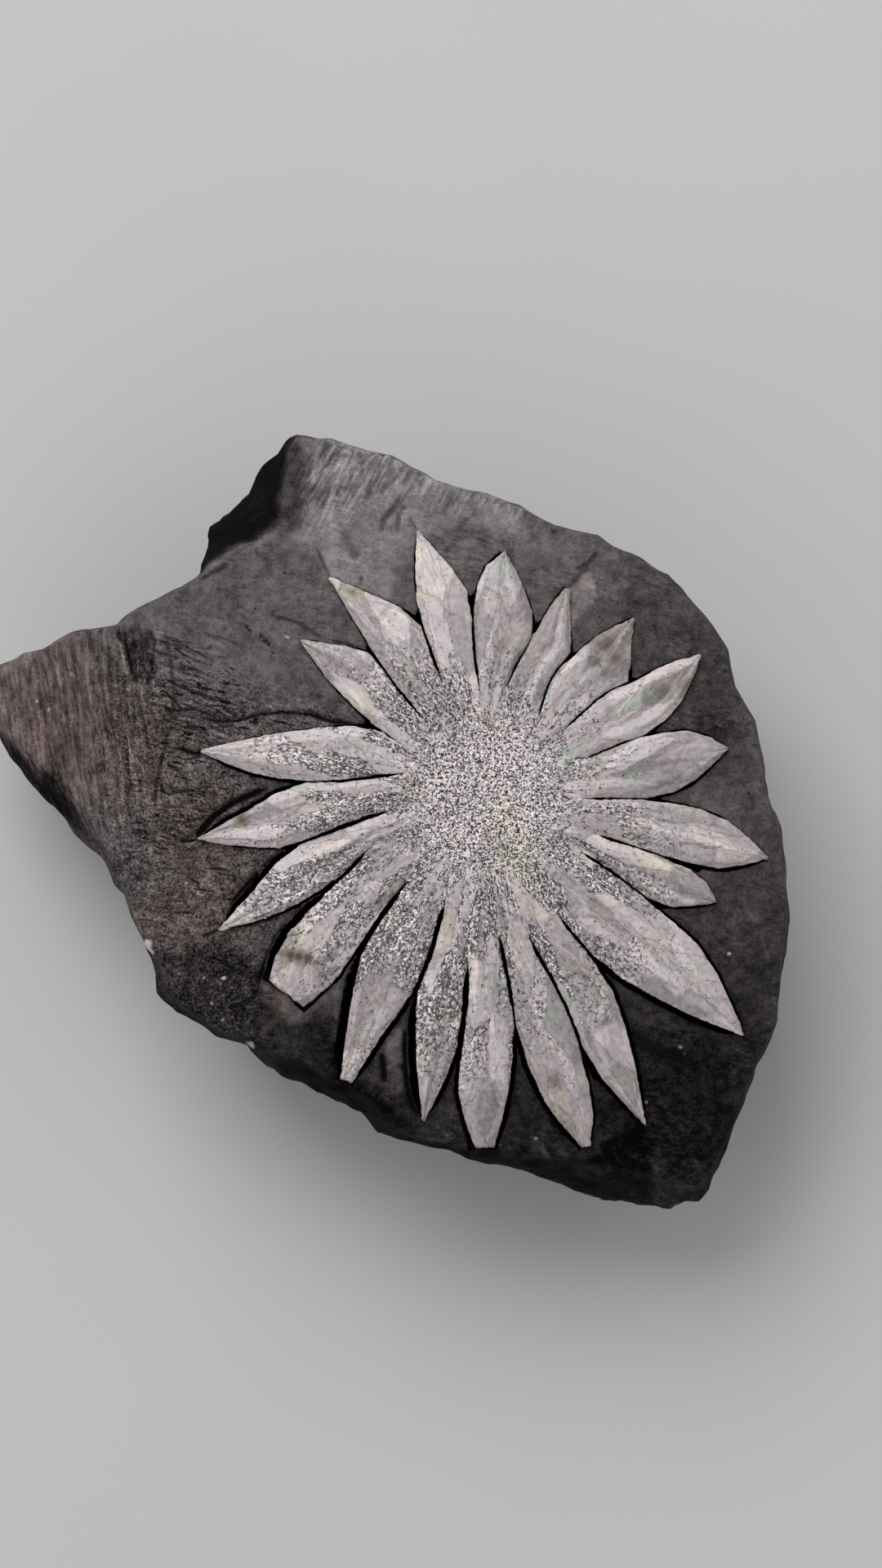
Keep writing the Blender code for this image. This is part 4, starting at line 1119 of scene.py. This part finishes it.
class Net:
    """The nodes of one finish, and short calls that add to them."""

    def __init__(self, tree):
        self.tree = tree

    def feed(self, socket, value):
        if isinstance(value, bpy.types.NodeSocket):
            self.tree.links.new(value, socket)
        else:
            socket.default_value = value

    def node(self, kind, result, inputs=(), **settings):
        """Add a node, set it, feed it, and hand back the output named or numbered by result."""
        made = self.tree.nodes.new("ShaderNode" + kind)
        for name, value in settings.items():
            setattr(made, name, value)
        for name, value in dict(inputs).items():
            self.feed(made.inputs[name], value)
        return made.outputs[result]

    def math(self, kind, first, second=0.5, third=0.5):
        return self.node("Math", 0, {0: first, 1: second, 2: third}, operation=kind)

    plus = partialmethod(math, "ADD")
    minus = partialmethod(math, "SUBTRACT")
    times = partialmethod(math, "MULTIPLY")
    larger = partialmethod(math, "MAXIMUM")

    def onto(self, base, pattern, share):
        """A share of a pattern, laid onto a base."""
        return self.math("MULTIPLY_ADD", pattern, share, base)

    def vector(self, kind, *inputs):
        return self.node("VectorMath", "Vector", enumerate(inputs), operation=kind)

    def ramp(self, value, low, high, to_low=0.0, to_high=1.0):
        """Turn a stretch of values smoothly into another stretch."""
        return self.node("MapRange", "Result", {
            "Value": value, "From Min": low, "From Max": high,
            "To Min": to_low, "To Max": to_high,
        }, interpolation_type="SMOOTHSTEP")

    def swing(self, pattern, amount):
        """Noise, turned into a swing from -amount to amount."""
        return self.ramp(pattern, 0.3, 0.7, -amount, amount)

    def between(self, share, first, second):
        return self.node("Mix", 0, {0: share, 2: first, 3: second})

    def mix(self, share, first, second, kind="MIX"):
        return self.node("Mix", 2, {0: share, 6: first, 7: second},
                         data_type="RGBA", blend_type=kind)

    def lit(self, colour, light):
        """A colour made lighter or darker by a number."""
        grey = self.node("CombineColor", 0, {0: light, 1: light, 2: light})
        return self.mix(1.0, colour, grey, "MULTIPLY")

    def noise(self, place, scale, detail=3.0, roughness=0.5, distortion=0.0):
        return self.node("TexNoise", "Fac", {
            "Vector": place, "Scale": scale, "Detail": detail, "Roughness": roughness,
            "Distortion": distortion,
        })

    def reading(self, name):
        return self.node("Attribute", "Fac", attribute_name=name)

    def stone_place(self):
        """Places on the stone, in millimetres from the heart."""
        return self.node("Mapping", "Vector", {
            "Vector": self.node("TexCoord", "Object"), "Location": -HEART,
            "Scale": (1.0 / MM,) * 3})

    def dress(self, colour, roughness, gloss, relief=None, relief_depth=0.0):
        """Feed the shader. Gloss is one plain number; the relief's depth is in mm."""
        inputs = self.tree.nodes["Principled BSDF"].inputs
        self.feed(inputs["Base Color"], colour)
        self.feed(inputs["Roughness"], roughness)
        inputs["Specular IOR Level"].default_value = gloss
        if relief is not None:
            self.feed(inputs["Normal"], self.node("Bump", "Normal", {
                "Height": relief, "Distance": relief_depth * MM, "Strength": BUMP_STRENGTH}))


def new_finish(name):
    material = bpy.data.materials.new(name)
    material.use_nodes = True
    return material, Net(material.node_tree)


def put_finish(piece, material):
    piece.data.materials.clear()
    piece.data.materials.append(material)
    print(material.name, "has", len(material.node_tree.nodes), "nodes")


print("short calls:", *(name for name in vars(Net) if not name.startswith("_")))

# %% [markdown]
# The limestone is dull and very dark, with a fine grain in it. Its readings say how light it is,
# with painted light and shade in that, where iron stained it, where painted shade blackens a
# groove and where a white grain sits. Noise adds the grain. What is finer than the mesh is relief
# in the finish, as it only changes the shine.

# %% Scraped dark limestone
GREY_LIMESTONE = (1.0, 0.93, 0.96, 1.0)
IRON_STAIN = (1.0, 0.70, 0.63, 1.0)
CALCITE = (0.60, 0.60, 0.56, 1.0)
# colour of the painted shade in grooves, pits and the notch
PAINTED_GROOVE_SHADE = (0.004, 0.003, 0.003, 1.0)
DARKEST_TONE = 0.03
TONE_POWER = 2.2  # turns a tone as the eye sees it into a share of light
ROCK_GLOSS = 0.04
ROCK_RELIEF = 0.09  # mm


def combed(net, place, degrees, along, across):
    """Streaks that run one way: noise squeezed across that way and drawn out along it."""
    turned = net.node("VectorRotate", 0, {"Vector": place, "Angle": math.radians(-degrees)},
                      rotation_type="Z_AXIS")
    drawn = net.node("Mapping", 0, {"Vector": turned, "Scale": (along, across, across)})
    return net.noise(drawn, 1.0, 4.0, 0.6)


def dark_limestone():
    material, net = new_finish("scraped_dark_limestone")
    place = net.stone_place()
    crisp, comb, rake, score, soot = (
        net.reading(name) for name in ("crisp", "comb", "rake", "score", "soot"))
    mottle = net.noise(place, 0.30, 6.0, 0.62)
    patchy = net.noise(place, 1.3, 4.0, 0.6)
    grain = net.noise(place, 4.5, 4.0, 0.7)
    fine = net.noise(place, 8.0, 2.0, 0.6)
    scraped = net.ramp(net.noise(place, 0.22, 3.0, 0.6), 0.46, 0.60)
    scratchy = combed(net, place, -14.0, 0.8, 3.6)
    upright = combed(net, place, -79.0, 0.22, 2.2)
    slanted = combed(net, place, -117.0, 0.30, 2.6)
    # the tone reading holds painted light and shade as well as the rock's own tone
    # a pattern, how far it changes the tone, and where
    tone = net.plus(net.reading("tone"), net.ramp(mottle, 0.25, 0.75, -0.05, 0.05))
    for pattern, amount, share in ((patchy, 0.035, 1.0), (patchy, 0.04, crisp),
                                   (grain, 0.13, crisp), (scratchy, 0.055, scraped),
                                   (upright, 0.11, comb), (slanted, 0.10, rake),
                                   (fine, 0.095, crisp)):
        tone = net.onto(tone, net.swing(pattern, amount), share)
    holes = net.times(net.ramp(net.noise(place, 2.4, 3.0, 0.65), 0.32, 0.37, 1.0, 0.0), crisp)
    glints = net.times(net.ramp(net.noise(place, 7.0, 1.0), 0.735, 0.76), crisp)
    cuts = combed(net, place, -16.0, 0.42, 3.4)
    scores = net.times(net.ramp(cuts, 0.56, 0.62), score)
    # a pale lip round each score line is a painted highlight
    highlight_lips = net.minus(net.times(net.ramp(cuts, 0.50, 0.55), score), scores)
    for marks, change in ((holes, -0.16), (glints, 0.30), (scores, -0.20), (highlight_lips, 0.11)):
        tone = net.onto(tone, marks, change)
    light = net.math("POWER", net.larger(tone, DARKEST_TONE), TONE_POWER)
    colour = net.lit(net.mix(net.reading("stain"), GREY_LIMESTONE, IRON_STAIN), light)
    colour = net.mix(net.reading("white"), colour, CALCITE)
    # painted shade: grooves, pits, the notch and shadows beside petals turn nearly black
    colour = net.mix(soot, colour, PAINTED_GROOVE_SHADE)
    roughness = net.onto(net.ramp(patchy, 0.3, 0.7, 0.48, 0.64), soot, 0.35)
    relief = net.onto(patchy, grain, net.onto(0.6, crisp, 1.4))
    for pattern, share in ((holes, -0.6), (scores, -1.2), (scratchy, 0.8),
                           (upright, net.times(comb, 2.0))):
        relief = net.onto(relief, pattern, share)
    net.dress(colour, roughness, ROCK_GLOSS, relief, ROCK_RELIEF)
    return material


put_finish(rock_piece, dark_limestone())

# %% [markdown]
# The crystal is pale and silky. Its grains are dark specks with a painted highlight along one
# side. They stay round in the heart and are drawn out along the petals, so their pattern is
# measured both straight across the stone and round the heart.

# %% Patterns that fan out, and ticks
IN_PLAN = (1.0, 1.0, 0.0)  # leaves out the height
TICK_WIDTH = (0.040, 0.090)  # how far noise may be from its middle on a tick and beside it
TICK_BREAKS = (0.39, 0.47)  # where other noise breaks the ticks off


def fanned(net, place, round_scale, out_scale):
    """Places measured round the heart and outwards from it, so that a pattern fans out."""
    flat = net.vector("MULTIPLY", place, IN_PLAN)
    out = net.node("VectorMath", "Value", {0: flat}, operation="LENGTH")
    way = net.vector("MULTIPLY", net.vector("NORMALIZE", flat), (round_scale,) * 3)
    x, y, _ = net.node("SeparateXYZ", 0, {0: way}).node.outputs
    return net.node("CombineXYZ", 0, {0: x, 1: y, 2: net.times(out, out_scale)}), out


def etched(net, place, scale):
    """Short squiggly ticks where noise crosses its middle, and a painted highlight along one side.
    """
    swell = net.noise(place, scale, 1.0, 0.5, 0.4)
    line = net.ramp(net.math("ABSOLUTE", net.minus(swell, 0.5)), *TICK_WIDTH, 1.0, 0.0)
    line = net.times(line, net.ramp(net.noise(place, scale * 0.9, 1.0), *TICK_BREAKS))
    highlight_lip = net.minus(net.ramp(swell, 0.54, 0.60), net.ramp(swell, 0.62, 0.72, 0.0, 0.8))
    return line, highlight_lip


print("ticks lie where noise is within", TICK_WIDTH[0], "of its middle")

# %% Pale crystal
GREENISH = (0.438, 0.449, 0.420, 1.0)
PINKISH_GREY = (0.520, 0.450, 0.462, 1.0)
CREAM = (0.595, 0.540, 0.435, 1.0)
SEAM_GREY = (0.20, 0.17, 0.17, 1.0)
PAINTED_HIGHLIGHT_WHITE = (0.92, 0.87, 0.87, 1.0)
TICK_BLACK = (0.034, 0.025, 0.029, 1.0)
RUST_BROWN = (0.075, 0.060, 0.032, 1.0)
# colour of the painted shade on the petals' sides down in the slot
PAINTED_SLOT_SHADE = (0.005, 0.004, 0.004, 1.0)
SEAM_SHARE = 0.38
HIGHLIGHT_SHARE = 0.85
LEAF_SWAY = 0.9  # mm that the leaves' borders wander
CRYSTAL_GLOSS = 0.30
CRYSTAL_RELIEF = 0.07  # mm


def crystal_leaves(net, place, far):
    """Long thin crystals that lie outwards: three random readings for each, and their seams."""
    sway = net.node("TexNoise", "Color", {"Vector": place, "Scale": 0.8, "Detail": 2.0})
    swayed = net.vector("MULTIPLY_ADD", sway, (LEAF_SWAY,) * 3, place)
    cells = {"Vector": fanned(net, swayed, 9.5, 0.17)[0], "Scale": 1.0}
    leaf = net.node("TexVoronoi", "Color", cells)
    rim = net.node("TexVoronoi", "Distance", cells, feature="DISTANCE_TO_EDGE")
    rim = net.times(net.ramp(rim, 0.015, 0.050, 1.0, 0.0), far)
    return *net.node("SeparateColor", 0, {0: leaf}).node.outputs[:3], rim


def crystal_ticks(net, place, out, grain):
    """Dark ticks, round ones in the heart and long ones further out, and the painted highlights
    beside them.
    """
    round_line, round_highlight = etched(net, place, 4.6)
    long_line, long_highlight = etched(net, fanned(net, place, 66.0, 2.7)[0], 1.0)
    loose = net.noise(place, 2.6, 2.0, 0.6)
    drawn_out = net.ramp(net.onto(out, loose, 9.0), 10.6, 11.4)
    cover = net.ramp(net.onto(loose, grain, 0.30), 0.62, 0.72)
    dark = net.times(net.between(drawn_out, round_line, long_line), cover)
    specks = net.onto(net.noise(place, 5.0, 1.0), grain, 0.13)
    dark = net.larger(dark, net.ramp(specks, 0.75, 0.79))
    highlight_lip = net.between(drawn_out, round_highlight, long_highlight)
    painted_highlight = net.times(net.times(highlight_lip, net.minus(1.0, dark)), grain)
    return dark, painted_highlight


def pale_crystal():
    material, net = new_finish("pale_silky_crystal")
    place = net.stone_place()
    blade, grainy = net.reading("blade"), net.reading("grain")
    fan, out = fanned(net, place, 60.0, 1.1)
    far = net.ramp(out, 5.0, 9.0)
    fibres = net.noise(fan, 1.0, 3.0, 0.6)
    wide = net.noise(place, 0.45, 3.0, 0.55)
    small = net.noise(place, 2.0, 3.0, 0.6)
    leaf_tone, leaf_rough, leaf_tint, leaf_rim = crystal_leaves(net, place, far)
    # tint of each leaf and patch
    tint = net.plus(net.reading("tint"), net.swing(wide, 0.22))
    tint = net.onto(tint, net.minus(leaf_tint, 0.5), 0.14)
    colour = net.mix(net.ramp(tint, 0.0, 0.45), GREENISH, PINKISH_GREY)
    colour = net.mix(net.ramp(tint, 0.55, 1.0), colour, CREAM)
    # grains and ticks, which leave some of the leaves smooth
    rough_leaf = net.times(net.ramp(leaf_rough, 0.38, 0.46, 0.15, 1.2),
                           net.ramp(blade, 0.15, 0.55, 0.35, 1.1))
    grain = net.times(grainy, net.between(far, 1.0, rough_leaf))
    dark, painted_highlight = crystal_ticks(net, place, out, grain)
    dark = net.times(dark, net.ramp(grainy, 0.1, 0.6, 0.55, 1.0))
    # how light each blade, leaf and patch is
    sheen = net.plus(net.ramp(blade, 0.0, 1.0, 0.76, 1.15), net.swing(fibres, 0.06))
    sheen = net.plus(sheen, net.swing(small, 0.12))
    sheen = net.onto(sheen, far, net.ramp(leaf_tone, 0.1, 0.9, -0.26, 0.14))
    sheen = net.plus(net.ramp(out, 2.5, 9.0, 0.60, 0.05), sheen)
    mottle = net.ramp(net.noise(place, 3.2, 2.0, 0.6), 0.35, 0.65, -0.27, 0.27)
    sheen = net.onto(sheen, mottle, grain)
    colour = net.lit(colour, sheen)
    for share, laid_over in (
        (net.times(net.larger(net.reading("seam"), leaf_rim), SEAM_SHARE), SEAM_GREY),
        # painted highlight beside the ticks
        (net.times(painted_highlight, HIGHLIGHT_SHARE), PAINTED_HIGHLIGHT_WHITE),
        (net.times(dark, net.ramp(out, 5.0, 16.0, 1.0, 0.85)), TICK_BLACK),
        (net.reading("rust"), RUST_BROWN),
        (net.reading("soot"), PAINTED_SLOT_SHADE),
    ):
        colour = net.mix(share, colour, laid_over)
    relief = net.onto(net.times(fibres, 0.4), dark, -1.0)
    relief = net.onto(relief, net.times(far, leaf_tone), 0.6)
    roughness = net.ramp(small, 0.3, 0.7, 0.36, 0.52)
    net.dress(colour, roughness, CRYSTAL_GLOSS, relief, CRYSTAL_RELIEF)
    return material


put_finish(flower_piece, pale_crystal())

# %% [markdown]
# ## The set
# The stone lies on a plain pale sheet and is seen from straight above, through a long lens, so
# that it keeps its outline. One large soft lamp stands at the upper left, like a window, and the
# surroundings light the rest.

# %% Floor
FLOOR_HALF = 1.5  # m
PAPER_COOL = (0.560, 0.560, 0.556, 1.0)
PAPER_WARM = (0.582, 0.580, 0.580, 1.0)


def pale_paper():
    material, net = new_finish("pale_paper")
    soft = net.ramp(net.noise(net.node("TexCoord", "Object"), 14.0), 0.3, 0.7)
    net.dress(net.mix(soft, PAPER_COOL, PAPER_WARM), 0.9, 0.1)
    return material


def put_in_scene(name, data):
    placed = bpy.data.objects.new(name, data)
    bpy.context.collection.objects.link(placed)
    return placed


floor_bm = bmesh.new()
bmesh.ops.create_grid(floor_bm, x_segments=1, y_segments=1, size=FLOOR_HALF)
floor_mesh = bpy.data.meshes.new("pale_sheet")
floor_bm.to_mesh(floor_mesh)
floor_bm.free()
floor = put_in_scene("pale_sheet", floor_mesh)
put_finish(floor, pale_paper())
print("floor reaches", FLOOR_HALF, "m from the stone")

# %% Lamps and surroundings
KEY_PLACE = Vector((-0.35, 0.75, 0.80))  # m
KEY_SIZE = 0.8  # m
KEY_POWER = 9.3  # W
SKY = (0.985, 0.99, 1.0, 1.0)
SKY_STRENGTH = (0.76, 0.26)  # low down and overhead, where the camera and its stand are
SKY_FADE = (0.45, 0.95)

world = bpy.data.worlds.new("soft_room")
world.use_nodes = True
sky = Net(world.node_tree)
height = sky.node("SeparateXYZ", "Z", {0: sky.node("TexCoord", "Generated")})
backdrop = sky.tree.nodes["Background"].inputs
sky.feed(backdrop["Color"], SKY)
sky.feed(backdrop["Strength"], sky.ramp(height, *SKY_FADE, *SKY_STRENGTH))
bpy.context.scene.world = world
key_data = bpy.data.lights.new("window", "AREA")
key_data.shape = "SQUARE"
key_data.size = KEY_SIZE
key_data.energy = KEY_POWER
key = put_in_scene("window", key_data)
key.location = KEY_PLACE
key.rotation_euler = (-KEY_PLACE).to_track_quat("-Z", "Y").to_euler()
bpy.context.scene.view_settings.view_transform = "Standard"
print("window lamp at", [round(c, 2) for c in KEY_PLACE])

# %% Camera
FACE_LEVEL = 18.5  # mm, where the scale of the frame holds
CAMERA_AWAY = 600.0  # mm above that level
FRAME_TALL = 1920.0
FRAME_MIDDLE = (540.0, 960.0)
LENS_LONG_SIDE = 36.0

camera_data = bpy.data.cameras.new("overhead")
camera_data.sensor_width = LENS_LONG_SIDE
camera_data.lens = LENS_LONG_SIDE * CAMERA_AWAY * PIXELS_PER_MM / FRAME_TALL
camera_data.clip_end = 10.0
camera = put_in_scene("overhead", camera_data)
camera.location = (Vector((*seen_at(*FRAME_MIDDLE)[0], FACE_LEVEL + CAMERA_AWAY)) + HEART) * MM
bpy.context.scene.camera = camera
print("lens", round(camera_data.lens, 1), "mm")
